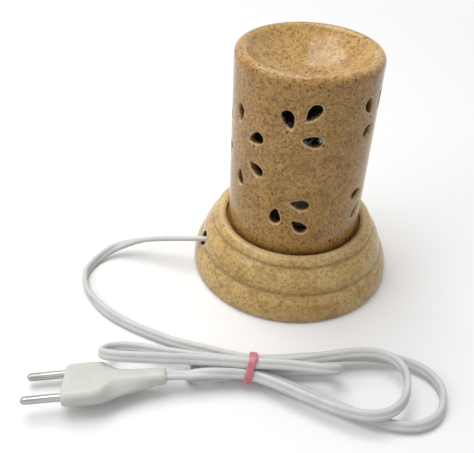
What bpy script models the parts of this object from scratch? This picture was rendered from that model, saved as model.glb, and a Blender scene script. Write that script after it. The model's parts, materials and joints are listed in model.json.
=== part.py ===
"""Electric oil burner: a pierced ceramic shade with an oil dish in its top, on a tiered ceramic base.

A small screw-cap lamp inside the shade warms the dish. The flat cord leaves a hole low in the base,
and the rest of it lies beside the burner, folded into a hank with a rubber band and a two-pin plug.
Metres, +Z up, origin at the middle of the base on the surface it stands on, front towards -Y.
"""

import math

import bmesh
import bpy
from mathutils import Matrix, Vector

# Fits
SEAT = 0.0003            # gap left between two pieces that touch
RUNNING = 0.0003         # clearance round a piece that turns or slides
STEPS_LARGE = 48         # facets round the ceramics
STEPS_SMALL = 16         # facets round the fittings

# Base
BASE_RADIUS = 0.0605     # widest, just above the foot
FOOT_INSET = 0.002       # how far the foot is drawn in under the widest part
FOOT_ROUND_HEIGHT = 0.003
LOWER_CREASE_INSET = 0.0051
LOWER_CREASE_HEIGHT = 0.0174
UPPER_CREASE_HEIGHT = 0.0314
TIER_BULGE = 0.0013      # how far each tier swells past its straight line
LIP_WIDTH = 0.0073       # from the recess out to the upper crease
LIP_BULGE = 0.0029
LIP_INNER_DROP = 0.0034  # lip's inner edge above the upper crease
RECESS_PLAY = 0.0017     # gap between the shade and the lip round it
DECK_TOP = 0.0315
DECK_THICKNESS = 0.005
BASE_WALL = 0.011        # from the widest part in to the hollow
HOLLOW_SHOULDER = 0.014  # height where the hollow starts to close in
DECK_CORNER_INSET = 0.0055
BOARD_THICKNESS = 0.002
BOARD_LEDGE = 0.0038     # height of the ledge that the board is glued against
BOARD_REBATE = 0.0028    # how much wider the rebate is than the hollow
CORD_HOLE_RADIUS = 0.0045
CORD_HOLE_Y = -0.0156
CORD_HOLE_HEIGHT = 0.020

# Shade and dish
SHADE_RADIUS = 0.0392
SHADE_TOP = 0.1403
SHADE_WALL = 0.0048
RIM_ROUND = 0.0036       # radius of the rim's rounding, which flows on into the dish
DISH_DEPTH = 0.017
DISH_THICKNESS = 0.005
RIM_POINTS = 6
DISH_POINTS = 7
PETAL_LENGTH = 0.011
PETAL_WIDTH = 0.0067
PETAL_POINTS = 14
PETAL_TURNS = 2          # the front's pattern, and again round the back

# Each petal's tip: how far round the wall from the front, its height, and the way it points in degrees
PETALS = (
    (-0.0047, 0.1123, 113), (0.0018, 0.1175, 55), (0.0002, 0.1074, -8),
    (-0.0028, 0.0687, -9), (-0.0006, 0.0570, -41), (-0.0096, 0.0640, -93),
    (-0.0386, 0.1050, 89), (-0.0302, 0.0988, 29), (-0.0465, 0.0985, 150),
    (-0.0293, 0.0864, -27), (-0.0366, 0.0785, -88), (-0.0465, 0.0865, -150),
    (0.0428, 0.1154, 123), (0.0476, 0.1082, 201), (0.0497, 0.1150, 62),
    (0.0470, 0.0660, 174), (0.0468, 0.0585, 233), (0.0528, 0.0580, -60),
)

# Lamp holder and its mounting
NIPPLE_RADIUS = 0.005
NIPPLE_BORE = 0.003
NIPPLE_END = 0.001       # thread left showing under the nut
WASHER_RADIUS = 0.0095
WASHER_THICKNESS = 0.0012
NUT_ACROSS_FLATS = 0.014
NUT_HEIGHT = 0.004
HOLDER_RADIUS = 0.0135
HOLDER_WALL = 0.0016
HOLDER_FLOOR = 0.003
HOLDER_LEDGE = 0.0017    # width of the ledge that carries the core
CHAMBER_HEIGHT = 0.007   # room for the terminals
CORE_THICKNESS = 0.003
CORE_WIRE_HOLE = 0.0016
SHELL_WALL = 0.0005
SHELL_FOOT = 0.0022      # width of the shell's foot flange
SHELL_HEIGHT = 0.0176
SPRING_LENGTH = 0.009
SPRING_WIDTH = 0.004
SPRING_THICKNESS = 0.0005
SPRING_RISE = 0.0016
TERMINAL_SIZE = 0.004
TERMINAL_HEIGHT = 0.005
TERMINAL_OFFSET = 0.0058
TERMINAL_HOLE_DEPTH = 0.0022
SCREW_RADIUS = 0.0008
SCREW_HEAD_RADIUS = 0.0015
SCREW_HEAD = 0.001
SCREW_LENGTH = 0.0012

# Lamp
CONTACT_RADIUS = 0.0024
CONTACT_FLAT = 0.0017
CONTACT_HEIGHT = 0.0014
INSULATOR_HEIGHT = 0.0025
CAP_RADIUS = 0.0069      # over the thread's crests
CAP_LENGTH = 0.0125
CAP_WALL = 0.0005
CAP_HOLE = 0.0032
THREAD_PITCH = 0.0028
THREAD_DEPTH = 0.0006
THREAD_TURNS = 4
GLASS_RADIUS = 0.012
GLASS_HEIGHT = 0.0322    # above the cap
GLASS_WALL = 0.0006
GLASS_SHOULDER = 0.006   # where the neck starts to widen, above the cap
NECK_DEPTH = 0.0103      # how far the neck goes down inside the cap
STEM_HEIGHT = 0.016
STEM_TIP_RADIUS = 0.0015
STEM_FLARE_HEIGHT = 0.005
FILAMENT_RADIUS = 0.0002
FILAMENT_HEIGHT = 0.010
FILAMENT_SPREAD = 0.005
FILAMENT_WAVES = 6
FILAMENT_WAVE = 0.0008   # height of one wave

# Cord, hank and plug
CORD_DIAMETER = 0.0044
CORE_DIAMETER = 0.0018
CORE_GATHER = 0.0177     # height where the cores come together under the nipple
CORE_PITCH = 0.0023      # between the two cores where the cord splits
STOP_RADIUS = 0.0052
STOP_WIDTH = 0.003
STOP_INSET = 0.0088      # middle of the stop tie, in from the hole
LOOP_POINTS = 24
WAIST_MIDDLE = (-0.013, -0.1026, 0.0089)     # where the band draws the hank in
WAIST_TILT = 53          # degrees up from the table, the way from the lower row of strands to the upper one
ROW_PITCH = 0.006
DEPTH_PITCH = 0.00495
# Loops in the order that the cord runs through them: how far each reaches from the waist, how far it
# swells to its sides and how late it opens (on its first half and on its second half), how it drifts
# sideways (per metre of reach) and lifts, and how far its near side tilts up while its far side tilts down
OUTER_LOOP = {
    "reach": 0.0985, "swell": (0.0182, 0.0236), "pinch": (0.25, 0.45), "drift": 0.004, "lift": -0.0042,
}
LOWER_FOLD = {
    "reach": -0.032, "swell": (0.0068, 0.0064), "pinch": (0.9, 0.9), "drift": -0.07, "lift": -0.0004,
}
SHORT_LOOP = {
    "reach": 0.0458, "swell": (0.0055, 0.0055), "pinch": (1.2, 1.2), "drift": 0.06, "lift": 0.0018,
    "tilt": 0.003,
}
UPPER_FOLD = {
    "reach": -0.077, "swell": (0.0092, 0.0125), "pinch": (1.5, 1.5), "drift": -0.057, "lift": -0.0008,
    "tilt": 0.0074,
}
INNER_LOOP = {
    "reach": 0.0793, "swell": (0.0187, 0.0225), "pinch": (0.8, 0.3), "drift": 0.04, "lift": 0.001,
}
BAND_WIDTH = 0.004
BAND_THICKNESS = 0.0006
BAND_CLEARANCE = 0.0004
PLUG_FACE = (-0.1035, -0.1283, 0.0085)
PLUG_HEADING = 14        # degrees, the way from the pins to the cord
PLUG_PITCH = 2
PLUG_ROLL = -15          # far edge down on the table
PLUG_WIDTH = 0.028
PLUG_THICKNESS = 0.009
PLUG_SQUARE = 0.019      # length before the taper
PLUG_TAPER_END = 0.046
PLUG_LENGTH = 0.051
PLUG_TAIL_WIDTH = 0.0086
PLUG_ROUND = 0.002
PIN_RADIUS = 0.002
PIN_LENGTH = 0.019
PIN_ROOT = 0.006
PIN_SPACING = 0.0186

# Where the lead starts inside the cord hole, its first steps from there, and the rest of its route to
# the hank, on the table from the fifth point of the rest to the eleventh
LEAD_INSET = 0.0135
LEAD_DROP = 0.001        # how far the cord hangs under the middle of the hole
LEAD_STEPS = ((0.0, 0.0, 0.0), (-0.0060, 0.0, 0.0), (-0.0190, -0.0004, -0.0012))
LEAD_REST = (
    (-0.0870, -0.0146, 0.0132), (-0.1010, -0.0155, 0.0088), (-0.1115, -0.0195, 0.0053),
    (-0.1185, -0.0280, 0.0030), (-0.1212, -0.0390, 0.0024), (-0.1195, -0.0475, 0.0024),
    (-0.1146, -0.0560, 0.0024), (-0.1080, -0.0632, 0.0024), (-0.0980, -0.0710, 0.0024),
    (-0.0851, -0.0776, 0.0024), (-0.0712, -0.0826, 0.0024), (-0.0591, -0.0862, 0.0028),
    (-0.0475, -0.0892, 0.0038), (-0.0420, -0.0906, 0.0045), (-0.0375, -0.0917, 0.0052),
)
HANK_ENTRY = ((-0.0320, -0.0932, 0.0060), (-0.0240, -0.0952, 0.0070))
TAIL_ROUTE = ((-0.0240, -0.1094, 0.0102), (-0.0350, -0.1114, 0.0105), (-0.0430, -0.1135, 0.0104))

# Steps of the cord inside the base from the same start, and routes of its two cores
INNER_STEPS = (
    (0.0003, 0.0, 0.0), (0.0050, 0.0, 0.0), (0.0115, 0.0, 0.0),
    (0.0170, 0.0014, -0.0018), (0.0215, 0.0044, -0.0052), (0.0255, 0.0081, -0.0084),
)
LIVE_ROUTE = ((-0.0120, -0.0005, 0.0085), (-0.0040, 0.0016, 0.0092), (0.0002, 0.0008, 0.0118))
NEUTRAL_ROUTE = ((-0.0120, -0.0058, 0.0100), (-0.0046, -0.0026, 0.0122), (-0.0018, -0.0007, 0.0150))

# Sizes and heights that follow from those above
FOOT_RADIUS = BASE_RADIUS - FOOT_INSET
LOWER_CREASE_RADIUS = BASE_RADIUS - LOWER_CREASE_INSET
RECESS_RADIUS = SHADE_RADIUS + RECESS_PLAY
UPPER_CREASE_RADIUS = RECESS_RADIUS + LIP_WIDTH
HOLLOW_RADIUS = BASE_RADIUS - BASE_WALL
DECK_CORNER_RADIUS = HOLLOW_RADIUS - DECK_CORNER_INSET
LEAD_START = Vector((LEAD_INSET - BASE_RADIUS, CORD_HOLE_Y, CORD_HOLE_HEIGHT - LEAD_DROP))
LEAD_ROUTE = (*(LEAD_START + Vector(step) for step in LEAD_STEPS), *LEAD_REST)
INNER_ROUTE = tuple(LEAD_START + Vector(step) for step in INNER_STEPS)
DECK_BOTTOM = DECK_TOP - DECK_THICKNESS
NIPPLE_HOLE = NIPPLE_RADIUS + SEAT
HOLDER_BOTTOM = DECK_TOP + SEAT + WASHER_THICKNESS + SEAT
CHAMBER_FLOOR = HOLDER_BOTTOM + HOLDER_FLOOR
CORE_BOTTOM = CHAMBER_FLOOR + CHAMBER_HEIGHT + SEAT
CORE_TOP = CORE_BOTTOM + CORE_THICKNESS
SHELL_BOTTOM = CORE_TOP + SEAT
SHELL_TOP = SHELL_BOTTOM + SHELL_HEIGHT
SHELL_BORE = CAP_RADIUS + RUNNING
CONTACT_BOTTOM = SHELL_BOTTOM + SPRING_RISE + SPRING_THICKNESS + SEAT
INSULATOR_BOTTOM = CONTACT_BOTTOM + CONTACT_HEIGHT + SEAT
CAP_BOTTOM = INSULATOR_BOTTOM + INSULATOR_HEIGHT + SEAT
CAP_TOP = CAP_BOTTOM + CAP_LENGTH
NECK_RADIUS = CAP_RADIUS - THREAD_DEPTH - CAP_WALL - SEAT
NECK_BOTTOM = CAP_TOP - NECK_DEPTH
STEM_BOTTOM = NECK_BOTTOM + SEAT
STEM_TOP = STEM_BOTTOM + STEM_HEIGHT
SHADE_BOTTOM = DECK_TOP + SEAT
BOARD_TOP = BOARD_LEDGE - SEAT


def clear_scene():
    for old in list(bpy.data.objects):
        bpy.data.objects.remove(old, do_unlink=True)


def new_collection(name):
    collection = bpy.data.collections.new(name)
    bpy.context.scene.collection.children.link(collection)
    return collection


clear_scene()
PARTS = new_collection("electric_oil_burner")
CUTTERS = new_collection("cutters")
PETAL_CUTTERS = new_collection("petal_cutters")


def material(name, colour, roughness, metallic=0.0):
    made = bpy.data.materials.new(name)
    made.use_nodes = True
    shader = made.node_tree.nodes["Principled BSDF"]
    shader.inputs["Base Color"].default_value = (*colour, 1.0)
    shader.inputs["Roughness"].default_value = roughness
    shader.inputs["Metallic"].default_value = metallic
    return made


STONEWARE = material("speckled_stoneware", (0.50, 0.32, 0.13), 0.25)
BOARD = material("bottom_board", (0.25, 0.17, 0.10), 0.8)
HOLDER = material("holder_plastic", (0.75, 0.74, 0.70), 0.4)
PHENOLIC = material("holder_core", (0.10, 0.08, 0.07), 0.5)
BRASS = material("brass", (0.70, 0.50, 0.20), 0.3, 1.0)
STEEL = material("plated_steel", (0.62, 0.62, 0.62), 0.3, 1.0)
FIBRE = material("fibre_washer", (0.35, 0.10, 0.07), 0.7)
GLASS = material("lamp_glass", (0.90, 0.92, 0.92), 0.05)
INSULATOR = material("cap_insulator", (0.02, 0.02, 0.03), 0.2)
TUNGSTEN = material("filament", (0.30, 0.30, 0.32), 0.4, 1.0)
FLEX = material("white_flex", (0.72, 0.72, 0.72), 0.4)
LIVE = material("live_core", (0.25, 0.09, 0.03), 0.45)
NEUTRAL = material("neutral_core", (0.05, 0.12, 0.45), 0.45)
NYLON = material("nylon_tie", (0.80, 0.80, 0.76), 0.4)
PLUG = material("plug_plastic", (0.68, 0.68, 0.63), 0.4)
BAND = material("rubber_band", (0.75, 0.20, 0.26), 0.55)


def add_part(part, surface):
    """Puts an object among the parts, with its material and smooth shading on its round faces."""
    part.data.materials.clear()
    part.data.materials.append(surface)
    PARTS.objects.link(part)
    return part


def mesh_object(name, graph):
    mesh = bpy.data.meshes.new(name)
    graph.to_mesh(mesh)
    graph.free()
    return bpy.data.objects.new(name, mesh)


def smooth_by_angle(part, degrees=35):
    part.data.shade_smooth()
    part.data.set_sharp_from_angle(angle=math.radians(degrees))


def turned(name, profile, steps, closed=False):
    """A profile of (radius, height) points, top to bottom down its outer side, turned round Z."""
    graph = bmesh.new()
    points = [graph.verts.new((radius, 0.0, height)) for radius, height in profile]
    pairs = list(zip(points, points[1:]))
    if closed:
        pairs.append((points[-1], points[0]))
    for first, second in pairs:
        graph.edges.new((first, second))
    part = mesh_object(name, graph)
    screw = part.modifiers.new("turn", "SCREW")
    screw.axis = "Z"
    screw.angle = math.tau
    screw.steps = steps
    screw.render_steps = steps
    screw.use_merge_vertices = True
    screw.merge_threshold = 0.00001
    screw.use_smooth_shade = True
    return part


def ring(name, inner, outer, bottom, height, steps=STEPS_SMALL):
    top = bottom + height
    return turned(name, ((inner, top), (outer, top), (outer, bottom), (inner, bottom)), steps, closed=True)


def arc(start, end, bulge, count):
    """Points from start up to, but without, end, on an arc that swells to the left of the way by bulge."""
    start = Vector(start)
    end = Vector(end)
    chord = end - start
    half = chord.length / 2
    radius = (half * half + bulge * bulge) / (2 * bulge)
    left = Vector((-chord.y, chord.x)) / chord.length
    centre = (start + end) / 2 - left * (radius - bulge)
    first = math.atan2(start.y - centre.y, start.x - centre.x)
    sweep = -2 * math.asin(half / radius)
    angles = [first + sweep * index / count for index in range(count)]
    return [(centre.x + radius * math.cos(a), centre.y + radius * math.sin(a)) for a in angles]


def evaluated_mesh(part):
    """The mesh of an object as its curve or modifiers make it, with loose caps welded on."""
    bpy.context.view_layer.update()
    ready = part.evaluated_get(bpy.context.evaluated_depsgraph_get())
    mesh = bpy.data.meshes.new_from_object(ready)
    graph = bmesh.new()
    graph.from_mesh(mesh)
    bmesh.ops.remove_doubles(graph, verts=graph.verts, dist=0.000001)
    bmesh.ops.recalc_face_normals(graph, faces=graph.faces)
    graph.to_mesh(mesh)
    graph.free()
    return mesh


def slab(name, outline, thickness, holes=()):
    """A flat outline in XY, thickened evenly about z = 0, as a closed mesh."""
    curve = bpy.data.curves.new(name, "CURVE")
    curve.dimensions = "2D"
    curve.fill_mode = "BOTH"
    curve.extrude = thickness / 2
    for loop in (outline, *holes):
        spline = curve.splines.new("POLY")
        spline.points.add(len(loop) - 1)
        for point, place in zip(spline.points, loop):
            point.co = (place[0], place[1], 0.0, 1.0)
        spline.use_cyclic_u = True
    drawn = bpy.data.objects.new(name + "_outline", curve)
    bpy.context.scene.collection.objects.link(drawn)
    mesh = evaluated_mesh(drawn)
    bpy.data.objects.remove(drawn, do_unlink=True)
    bpy.data.curves.remove(curve)
    return bpy.data.objects.new(name, mesh)


def tube(name, points, diameter, resolution):
    curve = bpy.data.curves.new(name, "CURVE")
    curve.dimensions = "3D"
    curve.bevel_depth = diameter / 2
    curve.bevel_resolution = resolution
    curve.use_fill_caps = True
    spline = curve.splines.new("POLY")
    spline.points.add(len(points) - 1)
    for point, place in zip(spline.points, points):
        point.co = (*place, 1.0)
    return bpy.data.objects.new(name, curve)


def flowing(route, per_span):
    """Points on a smooth curve through a route's own points."""
    stops = [Vector(point) for point in route]
    stops = [2 * stops[0] - stops[1], *stops, 2 * stops[-1] - stops[-2]]
    points = []
    for before, start, end, after in zip(stops, stops[1:], stops[2:], stops[3:]):
        for step in range(per_span):
            t = step / per_span
            bend = 2 * before - 5 * start + 4 * end - after
            twist = 3 * start - before - 3 * end + after
            points.append(start + 0.5 * (t * (end - before) + t * t * bend + t ** 3 * twist))
    points.append(stops[-2])
    return points


def rod_cutter(name, radius, length, place, axis):
    graph = bmesh.new()
    bmesh.ops.create_cone(graph, cap_ends=True, segments=STEPS_SMALL, radius1=radius, radius2=radius,
                          depth=length)
    cutter = mesh_object(name, graph)
    turn = Vector(axis).to_track_quat("Z", "X").to_matrix().to_4x4()
    cutter.matrix_world = Matrix.Translation(place) @ turn
    return hide_cutter(cutter, CUTTERS)


def hide_cutter(cutter, collection):
    cutter.hide_render = True
    cutter.display_type = "WIRE"
    collection.objects.link(cutter)
    return cutter


def cut(part, cutter):
    boolean = part.modifiers.new("cut", "BOOLEAN")
    boolean.operation = "DIFFERENCE"
    boolean.solver = "EXACT"
    boolean.object = cutter
    return part


def make_base():
    lip_inner = (RECESS_RADIUS, UPPER_CREASE_HEIGHT + LIP_INNER_DROP)
    upper_crease = (UPPER_CREASE_RADIUS, UPPER_CREASE_HEIGHT)
    lower_crease = (LOWER_CREASE_RADIUS, LOWER_CREASE_HEIGHT)
    widest = (BASE_RADIUS, FOOT_ROUND_HEIGHT)
    foot = (FOOT_RADIUS, 0.0)
    profile = [(NIPPLE_HOLE, DECK_TOP), (RECESS_RADIUS, DECK_TOP)]
    profile += arc(lip_inner, upper_crease, LIP_BULGE, 6)
    profile += arc(upper_crease, lower_crease, TIER_BULGE, 5)
    profile += arc(lower_crease, widest, TIER_BULGE, 5)
    profile += arc(widest, foot, (BASE_RADIUS - FOOT_RADIUS) / 3, 3)
    profile += [
        foot,
        (HOLLOW_RADIUS + BOARD_REBATE, 0.0),
        (HOLLOW_RADIUS + BOARD_REBATE, BOARD_LEDGE),
        (HOLLOW_RADIUS, BOARD_LEDGE),
        (HOLLOW_RADIUS, HOLLOW_SHOULDER),
        (DECK_CORNER_RADIUS, DECK_BOTTOM),
        (NIPPLE_HOLE, DECK_BOTTOM),
    ]
    base = turned("ceramic_base", profile, STEPS_LARGE, closed=True)
    wall_middle = (HOLLOW_RADIUS + BASE_RADIUS) / 2
    place = (-wall_middle, CORD_HOLE_Y, CORD_HOLE_HEIGHT)
    cut(base, rod_cutter("cord_hole", CORD_HOLE_RADIUS, BASE_RADIUS / 2, place, (1, 0, 0)))
    add_part(base, STONEWARE)
    board = turned("bottom_board", (
        (0.0, BOARD_TOP),
        (HOLLOW_RADIUS + BOARD_REBATE - SEAT, BOARD_TOP),
        (HOLLOW_RADIUS + BOARD_REBATE - SEAT, BOARD_TOP - BOARD_THICKNESS),
        (0.0, BOARD_TOP - BOARD_THICKNESS),
    ), STEPS_LARGE)
    add_part(board, BOARD)


def petal_outline():
    """A teardrop from its tip at the origin along +X: a sine that is pinched towards the tip."""
    widest = max(math.sin(a / 100) * math.sin(a / 200) for a in range(315))
    outline = []
    for index in range(PETAL_POINTS):
        a = math.tau * index / PETAL_POINTS
        along = PETAL_LENGTH * (1 - math.cos(a)) / 2
        across = PETAL_WIDTH / 2 * math.sin(a) * math.sin(a / 2) / widest
        outline.append((along, across))
    return outline


def make_shade():
    inner = SHADE_RADIUS - SHADE_WALL
    rim_middle = SHADE_RADIUS - RIM_ROUND
    rim_height = SHADE_TOP - RIM_ROUND
    dish_bottom = SHADE_TOP - DISH_DEPTH
    rise = rim_height - dish_bottom
    dish_radius = (rim_middle ** 2 + rise ** 2 - RIM_ROUND ** 2) / (2 * DISH_DEPTH)
    dish_edge = math.asin(rim_middle / (dish_radius + RIM_ROUND))
    dish_angles = [dish_edge * index / DISH_POINTS for index in range(DISH_POINTS)]
    dish = [(dish_radius * math.sin(a), dish_bottom + dish_radius * (1 - math.cos(a))) for a in dish_angles]
    meeting = math.pi / 2 + dish_edge
    rim_angles = [meeting * (1 - index / RIM_POINTS) for index in range(RIM_POINTS + 1)]
    top = [(rim_middle + RIM_ROUND * math.cos(a), rim_height + RIM_ROUND * math.sin(a)) for a in rim_angles]
    under = [(r * inner / (inner + DISH_THICKNESS), z - DISH_THICKNESS) for r, z in dish]
    under.append((inner, rim_height - DISH_THICKNESS))
    profile = dish + top + [(SHADE_RADIUS, SHADE_BOTTOM), (inner, SHADE_BOTTOM)] + under[::-1]
    shade = turned("ceramic_shade", profile, STEPS_LARGE)
    stencil = slab("petal", petal_outline(), 3 * SHADE_WALL)
    for turn in range(PETAL_TURNS):
        for index, (round_wall, height, pointing) in enumerate(PETALS):
            azimuth = round_wall / SHADE_RADIUS + math.tau * turn / PETAL_TURNS
            cutter = bpy.data.objects.new(f"petal_{turn}_{index}", stencil.data)
            outward = Matrix.Rotation(azimuth, 4, "Z") @ Matrix.Rotation(math.radians(90), 4, "X")
            place = Matrix.Translation((0.0, height, inner + SHADE_WALL / 2))
            cutter.matrix_world = outward @ place @ Matrix.Rotation(math.radians(pointing), 4, "Z")
            hide_cutter(cutter, PETAL_CUTTERS)
    bpy.data.objects.remove(stencil, do_unlink=True)
    boolean = shade.modifiers.new("petals", "BOOLEAN")
    boolean.operation = "DIFFERENCE"
    boolean.solver = "EXACT"
    boolean.operand_type = "COLLECTION"
    boolean.collection = PETAL_CUTTERS
    add_part(shade, STONEWARE)


def make_mounting():
    upper = ring("upper_washer", NIPPLE_HOLE, WASHER_RADIUS, DECK_TOP + SEAT, WASHER_THICKNESS)
    add_part(upper, FIBRE)
    washer_bottom = DECK_BOTTOM - SEAT - WASHER_THICKNESS
    add_part(ring("lower_washer", NIPPLE_HOLE, WASHER_RADIUS, washer_bottom, WASHER_THICKNESS), STEEL)
    nut_middle = washer_bottom - SEAT - NUT_HEIGHT / 2
    corner = NUT_ACROSS_FLATS / math.sqrt(3)
    corners = [(corner * math.cos(math.tau * i / 6), corner * math.sin(math.tau * i / 6)) for i in range(6)]
    bore_angles = [math.tau * i / STEPS_SMALL for i in range(STEPS_SMALL)]
    bore = [(NIPPLE_HOLE * math.cos(a), NIPPLE_HOLE * math.sin(a)) for a in bore_angles]
    nut = slab("nipple_nut", corners, NUT_HEIGHT, holes=(bore,))
    nut.location.z = nut_middle
    add_part(nut, STEEL)
    nipple_bottom = nut_middle - NUT_HEIGHT / 2 - NIPPLE_END
    nipple_length = CHAMBER_FLOOR - SEAT - nipple_bottom
    add_part(ring("nipple", NIPPLE_BORE, NIPPLE_RADIUS, nipple_bottom, nipple_length), STEEL)


def make_holder():
    inner = HOLDER_RADIUS - HOLDER_WALL
    chamber = inner - HOLDER_LEDGE
    ledge = CORE_BOTTOM - SEAT
    cup = turned("holder_cup", (
        (inner, SHELL_TOP), (HOLDER_RADIUS, SHELL_TOP), (HOLDER_RADIUS, HOLDER_BOTTOM),
        (NIPPLE_HOLE, HOLDER_BOTTOM), (NIPPLE_HOLE, CHAMBER_FLOOR), (chamber, CHAMBER_FLOOR),
        (chamber, ledge), (inner, ledge),
    ), STEPS_SMALL, closed=True)
    add_part(cup, HOLDER)
    core = ring("holder_core", CORE_WIRE_HOLE, inner - SEAT, CORE_BOTTOM, CORE_THICKNESS)
    add_part(core, PHENOLIC)
    outer = SHELL_BORE + SHELL_WALL
    foot_top = SHELL_BOTTOM + SHELL_WALL
    shell = turned("holder_shell", (
        (SHELL_BORE, SHELL_TOP), (outer, SHELL_TOP), (outer, foot_top), (outer + SHELL_FOOT, foot_top),
        (outer + SHELL_FOOT, SHELL_BOTTOM), (SHELL_BORE, SHELL_BOTTOM),
    ), STEPS_SMALL, closed=True)
    add_part(shell, BRASS)
    make_contact_spring()
    for side, name in ((1, "live"), (-1, "neutral")):
        make_terminal(side, name)


def make_contact_spring():
    """An arched brass strip that stands on the core and presses up on the lamp's contact."""
    half = SPRING_LENGTH / 2
    upper = arc((-half, SPRING_THICKNESS), (half, SPRING_THICKNESS), SPRING_RISE, 8)
    upper.append((half, SPRING_THICKNESS))
    outline = upper + [(x, y - SPRING_THICKNESS) for x, y in upper[::-1]]
    spring = slab("contact_spring", outline, SPRING_WIDTH)
    spring.rotation_euler.x = math.radians(90)
    spring.location.z = SHELL_BOTTOM
    add_part(spring, BRASS)


def make_terminal(side, name):
    top = CORE_BOTTOM - SEAT
    middle = Vector((side * TERMINAL_OFFSET, 0.0, top - TERMINAL_HEIGHT / 2))
    graph = bmesh.new()
    bmesh.ops.create_cube(graph, size=1.0)
    bmesh.ops.scale(graph, vec=(TERMINAL_SIZE, TERMINAL_SIZE, TERMINAL_HEIGHT), verts=graph.verts)
    block = mesh_object(f"terminal_{name}", graph)
    block.location = middle
    hole = CORE_DIAMETER / 2 + SEAT
    inner_face = middle - Vector((side * TERMINAL_SIZE / 2, 0.0, 0.0))
    cut(block, rod_cutter(f"wire_hole_{name}", hole, 2 * TERMINAL_HOLE_DEPTH, inner_face, (1, 0, 0)))
    front = middle - Vector((0.0, TERMINAL_SIZE / 2, 0.0))
    screw_hole = rod_cutter(f"screw_hole_{name}", SCREW_RADIUS + SEAT, 2 * SCREW_LENGTH, front, (0, 1, 0))
    cut(block, screw_hole)
    add_part(block, BRASS)
    screw = turned(f"terminal_screw_{name}", (
        (0.0, SCREW_HEAD), (SCREW_HEAD_RADIUS, SCREW_HEAD), (SCREW_HEAD_RADIUS, 0.0), (SCREW_RADIUS, 0.0),
        (SCREW_RADIUS, SEAT - SCREW_LENGTH), (0.0, SEAT - SCREW_LENGTH),
    ), STEPS_SMALL)
    screw.location = front - Vector((0.0, SEAT, 0.0))
    screw.rotation_euler.x = math.radians(90)
    add_part(screw, STEEL)


def make_lamp():
    tip = CONTACT_BOTTOM
    half = CONTACT_HEIGHT / 2
    add_part(turned("lamp_contact", (
        (0.0, tip + CONTACT_HEIGHT), (CONTACT_RADIUS, tip + CONTACT_HEIGHT), (CONTACT_RADIUS, tip + half),
        (CONTACT_FLAT, tip), (0.0, tip),
    ), STEPS_SMALL), STEEL)
    root = CAP_RADIUS - THREAD_DEPTH
    add_part(turned("lamp_insulator", (
        (0.0, CAP_BOTTOM - SEAT), (root - CAP_WALL, CAP_BOTTOM - SEAT),
        (CONTACT_RADIUS + CAP_WALL, INSULATOR_BOTTOM), (0.0, INSULATOR_BOTTOM),
    ), STEPS_SMALL), INSULATOR)
    thread_top = CAP_TOP - (CAP_LENGTH - THREAD_TURNS * THREAD_PITCH) / 2
    wave = []
    for index in range(THREAD_TURNS):
        height = thread_top - index * THREAD_PITCH
        wave += [(root, height), (CAP_RADIUS, height - THREAD_PITCH / 2)]
    wave.append((root, thread_top - THREAD_TURNS * THREAD_PITCH))
    inner = root - CAP_WALL
    cap = turned("lamp_cap", [(inner, CAP_TOP), (root, CAP_TOP), *wave, (root, CAP_BOTTOM),
                              (CAP_HOLE, CAP_BOTTOM), (CAP_HOLE, CAP_BOTTOM + CAP_WALL),
                              (inner, CAP_BOTTOM + CAP_WALL)], STEPS_SMALL, closed=True)
    add_part(cap, BRASS)
    make_envelope()
    flare = NECK_RADIUS - GLASS_WALL - SEAT
    add_part(turned("lamp_stem", (
        (0.0, STEM_TOP), (STEM_TIP_RADIUS, STEM_TOP), (STEM_TIP_RADIUS, STEM_BOTTOM + STEM_FLARE_HEIGHT),
        (flare, STEM_BOTTOM), (0.0, STEM_BOTTOM),
    ), STEPS_SMALL), GLASS)
    make_filament()


def make_envelope():
    """The pear-shaped bulb, blown round a sphere and drawn in to a neck that is open below."""
    top = CAP_TOP + GLASS_HEIGHT
    centre = top - GLASS_RADIUS
    meet = CAP_TOP + GLASS_SHOULDER
    dome = [math.radians(90 - 15 * index) for index in range(8)]
    outer = [(GLASS_RADIUS * math.cos(a), centre + GLASS_RADIUS * math.sin(a)) for a in dome]
    outer[0] = (0.0, top)
    outer += [(NECK_RADIUS + GLASS_WALL, meet), (NECK_RADIUS, CAP_TOP - SEAT), (NECK_RADIUS, NECK_BOTTOM)]
    bulb = GLASS_RADIUS - GLASS_WALL
    inner = [(bulb * math.cos(a), centre + bulb * math.sin(a)) for a in dome]
    inner[0] = (0.0, top - GLASS_WALL)
    inner += [(NECK_RADIUS, meet), (NECK_RADIUS - GLASS_WALL, CAP_TOP - SEAT),
              (NECK_RADIUS - GLASS_WALL, NECK_BOTTOM)]
    add_part(turned("lamp_glass", outer + inner[::-1], STEPS_SMALL), GLASS)


def make_filament():
    """Two support wires up from the stem with a zigzag of filament between their ends, as one wire."""
    foot = STEM_TOP + SEAT
    top = foot + FILAMENT_HEIGHT
    half = FILAMENT_SPREAD
    points = [(-STEM_TIP_RADIUS / 2, 0.0, foot), (-half, 0.0, top)]
    for index in range(1, 2 * FILAMENT_WAVES):
        x = -half + 2 * half * index / (2 * FILAMENT_WAVES)
        lift = FILAMENT_WAVE if index % 2 else 0.0
        points.append((x, 0.0, top + lift))
    points += [(half, 0.0, top), (STEM_TIP_RADIUS / 2, 0.0, foot)]
    add_part(tube("lamp_filament", points, 2 * FILAMENT_RADIUS, 1), TUNGSTEN)


def waist(row, depth):
    """A strand's place at the waist: row 1 is upper, -1 lower; depth 1 is near, 0 middle, -1 far."""
    tilt = math.radians(WAIST_TILT)
    rise = Vector((0.0, math.cos(tilt), math.sin(tilt)))
    towards = Vector((0.0, -math.sin(tilt), math.cos(tilt)))
    return Vector(WAIST_MIDDLE) + row * ROW_PITCH / 2 * rise + depth * DEPTH_PITCH * towards


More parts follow.
